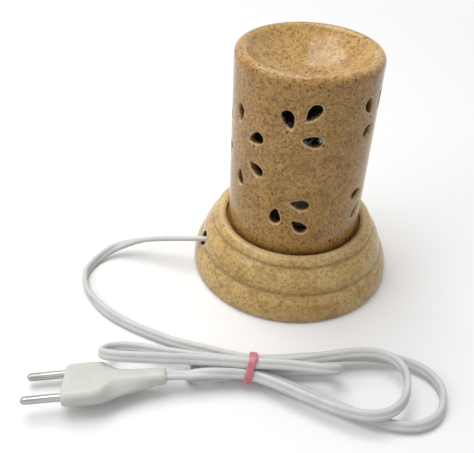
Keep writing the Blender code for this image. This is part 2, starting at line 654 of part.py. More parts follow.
def hank_loop(start, end, reach, swell, pinch, drift=0.0, lift=0.0, tilt=0.0):
    """One loop of the hank, from one place at the waist out to its reach and back to the next place."""
    side = 1 if start.y >= end.y else -1
    points = []
    for index in range(1, LOOP_POINTS):
        u = index / LOOP_POINTS
        half = 0 if u < 0.5 else 1
        out = math.sin(math.pi * u)
        sway = side * math.sin(math.tau * u) * out ** pinch[half]
        place = start.lerp(end, u)
        place.x += reach * out
        place.y += swell[half] * sway + drift * abs(reach) * out
        place.z = start.z + (end.z - start.z) * u * u * (3 - 2 * u) + lift * out - tilt * sway
        points.append(place)
    return points


def hank_points(plug_end, plug_way):
    """The cord from the end of the lead through three loops and two folds to the plug."""
    upper_near, upper_middle, upper_far = (waist(1, depth) for depth in (1, 0, -1))
    lower_near, lower_middle, lower_far = (waist(-1, depth) for depth in (1, 0, -1))
    lead_end = Vector(LEAD_ROUTE[-1])
    lead_way = (lead_end - Vector(LEAD_ROUTE[-2])).normalized()
    entry = lead_end + lead_way * SEAT
    points = [entry, entry + lead_way * CORD_DIAMETER, *(Vector(p) for p in HANK_ENTRY), upper_far]
    points += hank_loop(upper_far, lower_middle, **OUTER_LOOP) + [lower_middle]
    points += hank_loop(lower_middle, lower_far, **LOWER_FOLD) + [lower_far]
    points += hank_loop(lower_far, upper_near, **SHORT_LOOP) + [upper_near]
    points += hank_loop(upper_near, upper_middle, **UPPER_FOLD) + [upper_middle]
    points += hank_loop(upper_middle, lower_near, **INNER_LOOP) + [lower_near]
    points += [Vector(p) for p in TAIL_ROUTE]
    tail_end = plug_end + plug_way * SEAT
    points += [tail_end + plug_way * CORD_DIAMETER, tail_end]
    return points


def least_gap(points, diameter):
    """The narrowest space that the tube leaves to itself, away from its own neighbours along the way."""
    along = [0.0]
    for first, second in zip(points, points[1:]):
        along.append(along[-1] + (second - first).length)
    least = math.inf
    for i, first in enumerate(points):
        for j in range(i + 1, len(points)):
            if along[j] - along[i] > 3 * diameter:
                least = min(least, (points[j] - first).length - diameter)
    return least


def plug_frame():
    turn = Matrix.Rotation(math.radians(PLUG_HEADING), 4, "Z")
    pitch = Matrix.Rotation(-math.radians(PLUG_PITCH), 4, "Y")
    roll = Matrix.Rotation(math.radians(PLUG_ROLL), 4, "X")
    return Matrix.Translation(PLUG_FACE) @ turn @ pitch @ roll


def make_plug(frame):
    half = PLUG_WIDTH / 2
    tail = PLUG_TAIL_WIDTH / 2
    corner = PLUG_ROUND
    side = [(0.0, half - corner), (corner, half), (PLUG_SQUARE, half), (PLUG_TAPER_END, tail),
            (PLUG_LENGTH, tail)]
    outline = side + [(x, -y) for x, y in side[::-1]]
    body = slab("plug_body", outline, PLUG_THICKNESS)
    body.matrix_world = frame
    bevel = body.modifiers.new("soft_edges", "BEVEL")
    bevel.width = PLUG_ROUND
    bevel.segments = 2
    bevel.limit_method = "ANGLE"
    bevel.angle_limit = math.radians(60)
    for number, sign in ((1, 1), (2, -1)):
        across = sign * PIN_SPACING / 2
        place = frame @ Vector((0.0, across, 0.0))
        hole = rod_cutter(f"pin_hole_{number}", PIN_RADIUS + SEAT, 2 * (PIN_ROOT + SEAT), place,
                          frame.to_3x3() @ Vector((1, 0, 0)))
        cut(body, hole)
        pin = turned(f"plug_pin_{number}", (
            (0.0, PIN_LENGTH), (PIN_RADIUS / 2, PIN_LENGTH), (PIN_RADIUS, PIN_LENGTH - PIN_RADIUS),
            (PIN_RADIUS, -PIN_ROOT), (0.0, -PIN_ROOT),
        ), STEPS_SMALL)
        to_face = Matrix.Translation((0.0, across, 0.0)) @ Matrix.Rotation(-math.radians(90), 4, "Y")
        pin.matrix_world = frame @ to_face
        add_part(pin, STEEL)
    add_part(body, PLUG)


def make_band():
    """The rubber band, a flat ring round the waist of the hank."""
    reach = CORD_DIAMETER / 2 + BAND_CLEARANCE
    half_width = ROW_PITCH / 2 + reach
    half_height = DEPTH_PITCH + reach
    outlines = []
    for grow in (BAND_THICKNESS, 0.0):
        radius = CORD_DIAMETER / 2 + grow
        outline = []
        for quarter in range(4):
            for step in range(5):
                a = math.radians(90 * quarter + 22.5 * step)
                right = 1 if quarter in (0, 3) else -1
                up = 1 if quarter in (0, 1) else -1
                outline.append((right * (half_width + grow - radius) + radius * math.cos(a),
                                up * (half_height + grow - radius) + radius * math.sin(a)))
        outlines.append(outline)
    band = slab("hank_band", outlines[0], BAND_WIDTH, holes=(outlines[1],))
    upright = Matrix.Rotation(math.radians(90), 4, "Z") @ Matrix.Rotation(math.radians(90), 4, "X")
    leaning = Matrix.Rotation(math.radians(WAIST_TILT), 4, "X") @ upright
    band.matrix_world = Matrix.Translation(WAIST_MIDDLE) @ leaning
    add_part(band, BAND)


def make_cord():
    frame = plug_frame()
    plug_way = (frame.to_3x3() @ Vector((1, 0, 0))).normalized()
    make_plug(frame)
    add_part(tube("cord_lead", flowing(LEAD_ROUTE, 2), CORD_DIAMETER, 2), FLEX)
    loops = hank_points(frame @ Vector((PLUG_LENGTH, 0.0, 0.0)), plug_way)
    print(f"hank: least gap to itself {1000 * least_gap(flowing(loops, 3), CORD_DIAMETER):.2f} mm")
    add_part(tube("cord_hank", loops, CORD_DIAMETER, 1), FLEX)
    make_band()


def make_inner_wiring():
    inner = flowing(INNER_ROUTE, 2)
    add_part(tube("cord_inner", inner, CORD_DIAMETER, 2), FLEX)
    stop = ring("cord_stop", CORD_DIAMETER / 2 + SEAT, STOP_RADIUS, -STOP_WIDTH / 2, STOP_WIDTH)
    stop.location = LEAD_START + Vector((STOP_INSET, 0.0, 0.0))
    stop.rotation_euler.y = math.radians(90)
    add_part(stop, NYLON)
    way = (inner[-1] - inner[-2]).normalized()
    across = way.cross(Vector((0, 0, 1))).normalized() * (CORE_PITCH / 2)
    wire_height = CORE_BOTTOM - SEAT - TERMINAL_HEIGHT / 2
    bore_place = NIPPLE_BORE - CORE_DIAMETER / 2 - 2 * SEAT
    cores = (("live", 1, LIVE_ROUTE, LIVE), ("neutral", -1, NEUTRAL_ROUTE, NEUTRAL))
    for name, side, route, surface in cores:
        start = inner[-1] + way * SEAT - side * across
        end = TERMINAL_OFFSET - TERMINAL_SIZE / 2 + TERMINAL_HOLE_DEPTH - SEAT
        x = side * bore_place
        points = [start + way * CORE_DIAMETER, *route, (x, 0.0, CORE_GATHER),
                  (x, 0.0, DECK_TOP), (x, 0.0, wire_height - 2 * CORE_DIAMETER),
                  (x + side * CORE_DIAMETER / 2, 0.0, wire_height - CORE_DIAMETER / 3),
                  (x + side * CORE_DIAMETER, 0.0, wire_height), (side * end, 0.0, wire_height)]
        add_part(tube(f"core_{name}", [start, *flowing(points, 2)], CORE_DIAMETER, 1), surface)


make_base()
make_shade()
make_mounting()
make_holder()
make_lamp()
make_cord()
make_inner_wiring()
for piece in PARTS.objects:
    if piece.type == "MESH" and not piece.modifiers:
        smooth_by_angle(piece)
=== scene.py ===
"""Looks of the electric oil burner: glazed pierced stoneware, flat white flex tied in a hank, lamp inside."""

import json
import math

import bmesh
import bpy
import numpy as np
from mathutils import Matrix, Vector


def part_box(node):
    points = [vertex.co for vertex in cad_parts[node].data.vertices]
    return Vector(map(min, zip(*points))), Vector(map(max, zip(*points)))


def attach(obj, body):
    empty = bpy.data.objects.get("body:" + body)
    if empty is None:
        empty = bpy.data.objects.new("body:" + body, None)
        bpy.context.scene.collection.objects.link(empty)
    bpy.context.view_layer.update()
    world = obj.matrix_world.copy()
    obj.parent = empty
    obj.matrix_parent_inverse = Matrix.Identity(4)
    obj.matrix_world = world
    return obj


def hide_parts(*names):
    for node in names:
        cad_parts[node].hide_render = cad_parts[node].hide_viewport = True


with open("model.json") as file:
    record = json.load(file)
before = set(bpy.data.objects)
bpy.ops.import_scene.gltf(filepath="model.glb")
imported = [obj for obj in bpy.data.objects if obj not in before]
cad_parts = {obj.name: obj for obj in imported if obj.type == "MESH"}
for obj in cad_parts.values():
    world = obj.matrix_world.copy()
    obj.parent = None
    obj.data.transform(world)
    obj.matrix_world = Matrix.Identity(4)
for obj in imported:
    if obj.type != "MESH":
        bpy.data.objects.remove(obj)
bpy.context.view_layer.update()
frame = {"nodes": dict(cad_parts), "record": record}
NODES = frame["nodes"]
SCENE = bpy.context.scene
SCENE.view_settings.view_transform = "Standard"

# Camera: place in metres, heading, pitch and roll in degrees, lens and picture width in millimetres
CAMERA_PLACE = (0.0, -0.31718, 0.26631)
CAMERA_TURN = (6.1346, 52.2379, 2.3394)
CAMERA_LENS = 48.40
CAMERA_WIDTH = 36.0

# Sizes of the base repeated from the part's source, in metres; a pair is (radius, height)
SEAT = 0.0003
BASE_RADIUS = 0.0605
FOOT_RADIUS = 0.0585
FOOT_ROUND_HEIGHT = 0.003
LOWER_CREASE = (0.0554, 0.0174)
UPPER_CREASE = (0.0482, 0.0314)
LIP_INNER = (0.0409, 0.0348)
TIER_BULGE = 0.0013
LIP_BULGE = 0.0029
DECK_TOP = 0.0315
DECK_BOTTOM = 0.0265
DECK_CORNER_RADIUS = 0.044
HOLLOW_RADIUS = 0.0495
HOLLOW_SHOULDER = 0.014
BOARD_LEDGE = 0.0038
BOARD_REBATE = 0.0028
NIPPLE_HOLE = 0.0053
CORD_HOLE = (-0.055, -0.0156, 0.020)
CORD_HOLE_RADIUS = 0.0045

# Sizes of the shade repeated from the part's source
SHADE_RADIUS = 0.0392
SHADE_WALL = 0.0048
SHADE_TOP = 0.1403
SHADE_BOTTOM = 0.0318
RIM_ROUND = 0.0036
DISH_DEPTH = 0.017
DISH_THICKNESS = 0.005
PETAL_LENGTH = 0.011
PETAL_WIDTH = 0.0067
PETAL_TURNS = 2

# Each petal's tip: way round the wall from the front, height, and the way it points in degrees
PETALS = (
    (-0.0047, 0.1123, 113), (0.0018, 0.1175, 55), (0.0002, 0.1074, -8),
    (-0.0028, 0.0687, -9), (-0.0006, 0.0570, -41), (-0.0096, 0.0640, -93),
    (-0.0386, 0.1050, 89), (-0.0302, 0.0988, 29), (-0.0465, 0.0985, 150),
    (-0.0293, 0.0864, -27), (-0.0366, 0.0785, -88), (-0.0465, 0.0865, -150),
    (0.0428, 0.1154, 123), (0.0476, 0.1082, 201), (0.0497, 0.1150, 62),
    (0.0470, 0.0660, 174), (0.0468, 0.0585, 233), (0.0528, 0.0580, -60),
)

# Sizes of the lamp and its holder repeated from the part's source
HOLDER_RADIUS = 0.0135
HOLDER_WALL = 0.0016
HOLDER_FLOOR = 0.003
HOLDER_LEDGE = 0.0017
SHELL_BORE = 0.0072
SHELL_WALL = 0.0005
TERMINAL_HEIGHT = 0.005
CAP_RADIUS = 0.0069
CAP_WALL = 0.0005
CAP_HOLE = 0.0032
THREAD_PITCH = 0.0028
THREAD_DEPTH = 0.0006
THREAD_TURNS = 4
GLASS_WALL = 0.0006
GLASS_SHOULDER = 0.006
CONTACT_RADIUS = 0.0024

# Worked out from the sizes above
SHADE_INNER = SHADE_RADIUS - SHADE_WALL
RIM_MIDDLE = SHADE_RADIUS - RIM_ROUND
RIM_HEIGHT = SHADE_TOP - RIM_ROUND
DISH_BOTTOM = SHADE_TOP - DISH_DEPTH
DISH_RADIUS = (RIM_MIDDLE ** 2 + (RIM_HEIGHT - DISH_BOTTOM) ** 2 - RIM_ROUND ** 2) / (2 * DISH_DEPTH)
DISH_EDGE = math.asin(RIM_MIDDLE / (DISH_RADIUS + RIM_ROUND))
CAP_ROOT = CAP_RADIUS - THREAD_DEPTH
CAP_INSIDE = CAP_ROOT - CAP_WALL
INSULATOR_TIP = CAP_HOLE - SEAT

# Sizes that only the looks have
FOOT_BULGE = 0.0007
DECK_RING = 0.030
RECESS_CHAMFER = (0.0014, 0.0006)
LIP_CROWN = (0.0438, 0.0365)
CONTACT_NOSE = 0.0007
CORD_HOLE_LENGTH = 0.03
PUNCH_REACH = 0.007
CLAY_VOXEL = 0.0006
CLAY_SMOOTHING = 5
CLAY_KEPT = 0.52

# How far the glaze's marks spread from creases, edges and rims: the darker ones in the recess, the cord hole
# and at the shade's foot are painted shade, and the paler ones on the lip's crown and the rim are painted
# highlight
CREASE_SPREAD = 0.0013
RECESS_SPREAD = 0.0022
LIP_SPREAD = 0.0018
HOLE_SPREAD = 0.0008
PETAL_SPREAD = 0.00045
RIM_SPREAD = 0.0022
FOOT_SPREAD = 0.006
DISH_SPREAD = 0.012

# Colours of the glaze, in sRGB from 0 to 255
GROUND_PALE = (224, 191, 124)
GROUND_DEEP = (212, 175, 106)
WARM_TAN = (184, 137, 70)
CLOUD_BROWN = (150, 96, 42)
MOTTLE_BROWN = (122, 74, 28)
MOTTLE_PALE = (234, 204, 146)
# Darker brown for the creases and the dish, and painted shade in the recess, the cord hole, at the shade's
# foot and inside it
POOL_AND_SHADE_BROWN = (92, 60, 28)
# Pale cream for edges, partly thin glaze and partly painted highlight
EDGE_CREAM_AND_HIGHLIGHT = (236, 216, 174)

# Specks in the glaze: cells per metre, size in a cell, least pick that shows, strength and colour
SPECKS = (
    (1000, 0.40, 0.46, 0.90, (96, 54, 16)),
    (430, 0.29, 0.48, 0.95, (66, 38, 12)),
    (170, 0.17, 0.66, 0.95, (48, 30, 12)),
)

# Route of the cord, in metres
LEAD_ROUTE = (
    (-0.0470, -0.0156, 0.0190), (-0.0530, -0.0156, 0.0190), (-0.0660, -0.0160, 0.0178),
    (-0.0870, -0.0146, 0.0132), (-0.1010, -0.0155, 0.0088), (-0.1115, -0.0195, 0.0053),
    (-0.1185, -0.0280, 0.0030), (-0.1212, -0.0390, 0.0024), (-0.1195, -0.0475, 0.0024),
    (-0.1146, -0.0560, 0.0024), (-0.1080, -0.0632, 0.0024), (-0.0980, -0.0710, 0.0024),
    (-0.0851, -0.0776, 0.0024), (-0.0712, -0.0826, 0.0024), (-0.0591, -0.0862, 0.0028),
    (-0.0475, -0.0892, 0.0038), (-0.0420, -0.0906, 0.0045), (-0.0375, -0.0917, 0.0052),
)
HANK_ENTRY = ((-0.0320, -0.0932, 0.0060), (-0.0240, -0.0952, 0.0070))
TAIL_ROUTE = ((-0.0240, -0.1094, 0.0102), (-0.0350, -0.1114, 0.0105), (-0.0430, -0.1135, 0.0104))
INNER_ROUTE = (
    (-0.0467, -0.0156, 0.0190), (-0.0420, -0.0156, 0.0190), (-0.0355, -0.0156, 0.0190),
    (-0.0300, -0.0142, 0.0172), (-0.0255, -0.0112, 0.0138), (-0.0215, -0.0075, 0.0106),
)
LIVE_ROUTE = ((-0.0120, -0.0005, 0.0085), (-0.0040, 0.0016, 0.0092), (0.0002, 0.0008, 0.0118))
NEUTRAL_ROUTE = ((-0.0120, -0.0058, 0.0100), (-0.0046, -0.0026, 0.0122), (-0.0018, -0.0007, 0.0150))
CORE_DIAMETER = 0.0018
CORE_PITCH = 0.0023
CORE_GATHER = 0.0177
CORE_OFFSET = 0.0015
CORE_END = 0.0057
WAIST_MIDDLE = (-0.013, -0.1026, 0.0089)
WAIST_TILT = 53
ROW_PITCH = 0.006
DEPTH_PITCH = 0.0041     # flat strands lie closer than the round tubes of the part
LOOP_POINTS = 24
OUTER_LOOP = {
    "reach": 0.0985, "swell": (0.0182, 0.0236), "pinch": (0.25, 0.45), "drift": 0.004, "lift": -0.0042,
}
# The lower fold and the short loop stand a little off the part's, so that flat strands don't touch
LOWER_FOLD = {
    "reach": -0.032, "swell": (0.0068, 0.0064), "pinch": (0.9, 0.9), "drift": -0.07, "lift": -0.0018,
}
SHORT_LOOP = {
    "reach": 0.0448, "swell": (0.0034, 0.0052), "pinch": (1.2, 1.2), "drift": 0.075, "lift": 0.0034,
    "tilt": 0.003,
}
UPPER_FOLD = {
    "reach": -0.077, "swell": (0.0092, 0.0125), "pinch": (1.5, 1.5), "drift": -0.057, "lift": -0.0008,
    "tilt": 0.0074,
}
INNER_LOOP = {
    "reach": 0.0793, "swell": (0.0187, 0.0225), "pinch": (0.8, 0.3), "drift": 0.04, "lift": 0.001,
}

# The flat flex, its steps along the way, and the ways that its wide side faces
FLEX_WIDTH = 0.0057
FLEX_THICKNESS = 0.0032
FLEX_STEP = 0.0011
FLEX_INSIDE_STEP = 0.001
FLEX_OFF_FLOOR = 0.0001
FLEX_FACING = (-0.05, 0.60, 0.79)
FLEX_EDGE_ON = (-0.08, 0.79, -0.61)
FLEX_ROLLED = (0.2, -0.55, 0.80)

# Plug: its profile is length from the face, half width, half height and slope of the sides, and the
# radius of its corners is a share of the half height
PLUG_FACE = (-0.1035, -0.1283, 0.0085)
PLUG_TURN = (14, 2, -15)
PLUG_LENGTH = 0.051
PLUG_NECK = 0.0047       # straight cord before the plug
PLUG_GRIP = 0.003        # cord inside the plug
PLUG_CORNER = 0.8
PLUG_PROFILE = (
    (0.0000, 0.0112, 0.0022, 0.00), (0.0003, 0.0126, 0.0033, 0.00), (0.0014, 0.0137, 0.0042, 0.00),
    (0.0035, 0.0140, 0.0045, 0.00), (0.0110, 0.0140, 0.0045, 0.00), (0.0180, 0.0139, 0.0045, 0.00),
    (0.0205, 0.0133, 0.0045, 0.06), (0.0235, 0.0122, 0.0045, 0.22), (0.0275, 0.0107, 0.0044, 0.38),
    (0.0320, 0.0091, 0.0043, 0.38), (0.0380, 0.0069, 0.0041, 0.24), (0.0430, 0.0052, 0.0039, 0.08),
    (0.0460, 0.0044, 0.0038, 0.00), (0.0500, 0.0042, 0.0036, 0.00), (0.0508, 0.0038, 0.0031, 0.00),
    (0.0510, 0.0032, 0.0024, 0.00),
)
PIN_SPACING = 0.0186
PIN_RADIUS = 0.002
PIN_LENGTH = 0.019
PIN_ROOT = 0.006

# Band: room it leaves round the strands, and its section in shares of half its width and of its thickness
BAND_ROOM = (0.0005, 0.0007)
BAND_CORNER = 0.0026
BAND_HALF = 0.0021
BAND_THICKNESS = 0.0011
BAND_OFFSET = 0.0004
BAND_SLANT = 0.13
BAND_SECTION = (
    (-1, -0.2), (-0.75, -0.5), (0.75, -0.5), (1, -0.2), (1, 0.2),
    (0.6, 0.5), (0.0, 0.38), (-0.6, 0.5), (-1, 0.2),
)

# Studio: the floor fades to white between two distances; lamps are name, place, size in metres and watts
FLOOR_HALF = 4.0
FLOOR_FADE = (0.25, 0.85)
SOFT_LIGHT = 0.45
LAMPS_AIM = (0.0, 0.0, 0.07)
LAMPS = (
    ("window", (-0.30, 0.20, 1.13), (0.72, 1.00), 8.6),
    ("side", (-0.62, -0.38, 0.55), (0.5, 0.5), 1.3),
)
WHITE = (1.0, 1.0, 1.0, 1.0)


# Camera

def make_camera():
    data = bpy.data.cameras.new("camera")
    data.sensor_fit = "HORIZONTAL"
    data.sensor_width = CAMERA_WIDTH
    data.lens = CAMERA_LENS
    data.clip_start = 0.01
    data.clip_end = 20.0
    camera = bpy.data.objects.new("camera", data)
    SCENE.collection.objects.link(camera)
    heading, pitch, roll = (math.radians(angle) for angle in CAMERA_TURN)
    turn = Matrix.Rotation(heading, 4, "Z") @ Matrix.Rotation(pitch, 4, "X") @ Matrix.Rotation(roll, 4, "Z")
    camera.matrix_world = Matrix.Translation(CAMERA_PLACE) @ turn
    SCENE.camera = camera


# Materials

class Shader:
    """A Principled material whose sockets are fed by small chains of nodes in the object's own space."""

    def __init__(self, name, roughness=0.5, metallic=0.0, **sockets):
        self.material = bpy.data.materials.new(name)
        self.material.use_nodes = True
        self.tree = self.material.node_tree
        self.principled = self.tree.nodes["Principled BSDF"]
        self.principled.inputs["Roughness"].default_value = roughness
        self.principled.inputs["Metallic"].default_value = metallic
        for socket, value in sockets.items():
            self.principled.inputs[socket.replace("_", " ")].default_value = value
        self.place = self.tree.nodes.new("ShaderNodeTexCoord").outputs["Object"]

    def feed(self, socket, source):
        if isinstance(source, bpy.types.NodeSocket):
            self.tree.links.new(source, socket)
        else:
            socket.default_value = source

    def node(self, kind, sockets, **settings):
        made = self.tree.nodes.new("ShaderNode" + kind)
        for key, value in settings.items():
            setattr(made, key, value)
        for socket, source in sockets.items():
            self.feed(made.inputs[socket], source)
        return made

    def noise(self, scale, detail=2.0, roughness=0.5, place=None):
        sockets = {"Vector": place or self.place, "Scale": scale, "Detail": detail, "Roughness": roughness}
        return self.node("TexNoise", sockets).outputs["Fac"]

    def cells(self, scale):
        return self.node("TexVoronoi", {"Vector": self.place, "Scale": scale}, feature="F1")

    def mapped(self, scale, turn=(0.0, 0.0, 0.0), kind="POINT"):
        sockets = {"Vector": self.place, "Rotation": turn, "Scale": scale}
        return self.node("Mapping", sockets, vector_type=kind).outputs["Vector"]

    def ramp(self, source, low, high, start=0.0, end=1.0):
        sockets = {"Value": source, "From Min": low, "From Max": high, "To Min": start, "To Max": end}
        return self.node("MapRange", sockets, interpolation_type="SMOOTHSTEP").outputs["Result"]

    def times(self, first, second):
        return self.node("Math", {0: first, 1: second}, operation="MULTIPLY").outputs[0]

    def mix(self, share, first, second):
        made = self.node("Mix", {0: share}, data_type="RGBA")
        for socket, source in ((made.inputs[6], first), (made.inputs[7], second)):
            self.feed(socket, source if isinstance(source, bpy.types.NodeSocket) else (*source, 1.0))
        return made.outputs[2]

    def mix_shader(self, share, first, second):
        return self.node("MixShader", {0: share, 1: first, 2: second}).outputs[0]

    def attribute(self, name):
        return self.node("Attribute", {}, attribute_name=name).outputs["Fac"]

    def bump(self, source, strength, distance, **under):
        sockets = {"Height": source, "Strength": strength, "Distance": distance, **under}
        return self.node("Bump", sockets).outputs["Normal"]

    def set(self, socket, source):
        self.feed(self.principled.inputs[socket], source)


def srgb(red, green, blue):
    """Linear colour of an sRGB one given from 0 to 255."""
    values = [channel / 255 for channel in (red, green, blue)]
    return tuple(v / 12.92 if v <= 0.04045 else ((v + 0.055) / 1.055) ** 2.4 for v in values)


def speckled(s, colour, warm):
    """Dark specks over a colour, crowded in patches and fewer where the clay is less warm."""
    patches = s.ramp(s.noise(55, 2.0, 0.5), 0.36, 0.62, 0.60, 1.0)
    crowd = s.times(patches, s.ramp(warm, 0.0, 1.0, 0.42, 1.0))
    for scale, size, least, share, dark in SPECKS:
        cell = s.cells(scale)
        pick = s.node("SeparateColor", {"Color": cell.outputs["Color"]})
        chosen = s.ramp(pick.outputs["Red"], least, least + 0.04)
        spot = s.ramp(cell.outputs["Distance"], size * 0.55, size * 0.95, 1.0, 0.0)
        shown = s.times(s.times(spot, chosen), crowd)
        colour = s.mix(s.times(shown, share), colour, srgb(*dark))
    return colour


def stoneware():
    """A glossy tan glaze over speckled clay, paler on edges, partly thin glaze and partly painted highlight,
    and browner in creases and the dish and where painted shade is put.
    """
    s = Shader("speckled_stoneware", 0.14, Specular_IOR_Level=0.35)
    warm = s.attribute("warm")
    cloud = s.ramp(s.noise(120, 4.0, 0.6), 0.48, 0.68)
    mottle = s.ramp(s.noise(560, 3.0, 0.6), 0.46, 0.62)
    pale = s.ramp(s.noise(520, 2.0, 0.5), 0.58, 0.75)
    ground = s.ramp(s.noise(48, 3.0, 0.55), 0.38, 0.66)
    colour = s.mix(ground, srgb(*GROUND_PALE), srgb(*GROUND_DEEP))
    for share, layer in (
        (s.times(warm, 0.70), WARM_TAN),
        (s.times(cloud, 0.42), CLOUD_BROWN),
        (s.times(mottle, s.ramp(warm, 0.0, 1.0, 0.38, 0.55)), MOTTLE_BROWN),
        (s.times(pale, 0.45), MOTTLE_PALE),
        # Browner along creases and in the dish, and painted shade in the recess, the cord hole, at the
        # shade's foot and inside it
        (s.times(s.attribute("pool"), 0.85), POOL_AND_SHADE_BROWN),
        # Paler on edges, partly thin glaze and partly painted highlight; on the lip's crown and the rim it is
        # painted highlight
        (s.times(s.attribute("edge"), 0.85), EDGE_CREAM_AND_HIGHLIGHT),
    ):
        colour = s.mix(share, colour, srgb(*layer))
    s.set("Base Color", speckled(s, colour, warm))
    s.set("Roughness", s.ramp(s.noise(300, 2.0), 0.3, 0.7, 0.09, 0.17))
    skin = s.bump(s.noise(420, 2.0, 0.5), 0.06, 0.0006)
    s.set("Normal", s.bump(s.noise(70, 1.0, 0.4), 0.06, 0.002, Normal=skin))
    return s.material


def bare_clay():
    s = Shader("bare_clay", 0.85)
    grain = s.ramp(s.noise(1200, 3.0, 0.7), 0.35, 0.7)
    s.set("Base Color", s.mix(grain, srgb(196, 168, 128), srgb(160, 128, 88)))
    s.set("Normal", s.bump(s.noise(1500, 2.0), 0.3, 0.0003))
    return s.material


def plain(name, light, dark, scale, roughness, bump=0.05, **sockets):
    """Moulded plastic, rubber, board or clay: two close colours, uneven gloss and a fine skin."""
    s = Shader(name, **sockets)
    s.set("Base Color", s.mix(s.ramp(s.noise(scale, 3.0, 0.6), 0.35, 0.68), srgb(*light), srgb(*dark)))
    s.set("Roughness", s.ramp(s.noise(scale * 2.3, 2.0), 0.3, 0.7, roughness - 0.06, roughness + 0.08))
    s.set("Normal", s.bump(s.noise(scale * 6, 2.0, 0.6), bump, 0.0002))
    return s.material


def drawn_metal(name, light, dark, roughness):
    """Plated or pressed metal with fine lines round it and dull patches."""
    s = Shader(name, metallic=1.0)
    patch = s.ramp(s.noise(260, 3.0, 0.6), 0.35, 0.7)
    s.set("Base Color", s.mix(patch, srgb(*light), srgb(*dark)))
    lines = s.noise(900, 2.0, 0.6, s.mapped((1.0, 1.0, 6.0)))
    s.set("Roughness", s.ramp(lines, 0.3, 0.7, roughness - 0.06, roughness + 0.10))
    s.set("Normal", s.bump(lines, 0.02, 0.00005))
    return s.material


def turned_steel():
    """Bright pins with streaks along them; the streaks run the way the plug lies."""
    s = Shader("pin_steel", metallic=1.0)
    plug_way = (0.0, 0.0, math.radians(PLUG_TURN[0]))
    streaks = s.noise(1400, 2.0, 0.6, s.mapped((30.0, 1.0, 1.0), plug_way, "TEXTURE"))
    s.set("Base Color", s.mix(s.ramp(streaks, 0.35, 0.65), srgb(186, 185, 182), srgb(138, 136, 132)))
    s.set("Roughness", s.ramp(streaks, 0.3, 0.7, 0.16, 0.30))
    return s.material


def clear_glass():
    s = Shader("lamp_glass", 0.02, Transmission_Weight=1.0, IOR=1.45)
    s.set("Base Color", s.mix(s.ramp(s.noise(160, 2.0), 0.3, 0.7), (0.97, 0.98, 0.98), (0.92, 0.95, 0.95)))
    return s.material


MATERIALS = {
    "stoneware": stoneware(),
    "bare_clay": bare_clay(),
    # Bare clay darkened as painted shade, for the cord hole's wall
    "shaded_hole_clay": plain("shaded_hole_clay", (96, 74, 50), (74, 56, 36), 900, 0.85, 0.3),
    "board": plain("bottom_board", (142, 116, 84), (116, 90, 62), 900, 0.85, 0.3),
    "fibre": plain("fibre_washer", (150, 70, 58), (122, 52, 44), 1100, 0.75, 0.2),
    "plated_steel": drawn_metal("plated_steel", (168, 167, 164), (128, 126, 122), 0.24),
    "pin_steel": turned_steel(),
    "holder_plastic": plain("holder_plastic", (226, 223, 214), (210, 206, 195), 160, 0.42, 0.08),
    "phenolic": plain("phenolic", (74, 60, 50), (50, 40, 34), 700, 0.5, 0.12),
    "brass": drawn_metal("brass", (222, 184, 110), (184, 142, 74), 0.28),
    "black_glass": plain("cap_insulator", (30, 30, 36), (18, 18, 22), 500, 0.18),
    "lamp_glass": clear_glass(),
    "tungsten": drawn_metal("filament", (150, 148, 146), (104, 103, 102), 0.4),
    "white_flex": plain("white_flex", (218, 218, 217), (210, 210, 209), 90, 0.36, Specular_IOR_Level=0.4),
    "nylon": plain("nylon", (228, 227, 218), (214, 212, 202), 300, 0.4),
    "live_core": plain("live_core", (134, 84, 48), (112, 66, 36), 400, 0.42),
    "neutral_core": plain("neutral_core", (60, 98, 178), (46, 80, 156), 400, 0.42),
    "plug_plastic": plain("plug_plastic", (214, 214, 207), (207, 207, 199), 60, 0.40),
    "pink_rubber": plain("pink_rubber", (224, 140, 152), (202, 108, 124), 420, 0.42, 0.18),
}


# Building pieces

def finish_piece(piece, body, slot, *nodes, smooth=40, look=None):
    """Puts a piece in the scene on its body, with its finish, in place of its CAD nodes."""
    SCENE.collection.objects.link(piece)
    piece.data.materials.append(MATERIALS[look or slot])
    piece.data.shade_smooth()
    if smooth:
        piece.data.set_sharp_from_angle(angle=math.radians(smooth))
    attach(piece, body)
    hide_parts(*nodes)
    return piece


def graph_object(name, graph):
    mesh = bpy.data.meshes.new(name)
    graph.to_mesh(mesh)
    graph.free()
    return bpy.data.objects.new(name, mesh)


def mesh_piece(name, points, faces):
    mesh = bpy.data.meshes.new(name)
    mesh.from_pydata([tuple(p) for p in points], [], faces)
    graph = bmesh.new()
    graph.from_mesh(mesh)
    bmesh.ops.remove_doubles(graph, verts=graph.verts, dist=0.0000005)
    bmesh.ops.recalc_face_normals(graph, faces=graph.faces)
    graph.to_mesh(mesh)
    graph.free()
    return bpy.data.objects.new(name, mesh)


def skin_faces(rows, count, closed):
    """Faces between rows of points that are rings of count; closed joins the last row to the first."""
    faces = []
    for row in range(rows if closed else rows - 1):
        first = row * count
        second = (row + 1) % rows * count
        for step in range(count):
            after = (step + 1) % count
            faces.append((first + step, first + after, second + after, second + step))
    return faces


def turned(name, profile, steps=96, closed=True, place=None):
    """A profile of (radius, height) points turned round Z."""
    points = []
    for radius, height in profile:
        for step in range(steps):
            a = math.tau * step / steps
            points.append(Vector((radius * math.cos(a), radius * math.sin(a), height)))
    if place is not None:
        points = [place @ point for point in points]
    return mesh_piece(name, points, skin_faces(len(profile), steps, closed))


def swept(name, sections):
    """A closed skin over rings of points, one ring for each place along the way."""
    points = [point for section in sections for point in section]
    count = len(sections[0])
    faces = skin_faces(len(sections), count, closed=False)
    faces.append(tuple(range(count))[::-1])
    faces.append(tuple(range((len(sections) - 1) * count, len(sections) * count)))
    return mesh_piece(name, points, faces)


def refine(piece):
    """Rounds a piece off between its points."""
    fine = piece.modifiers.new("fine", "SUBSURF")
    fine.levels = 1
    fine.render_levels = 1


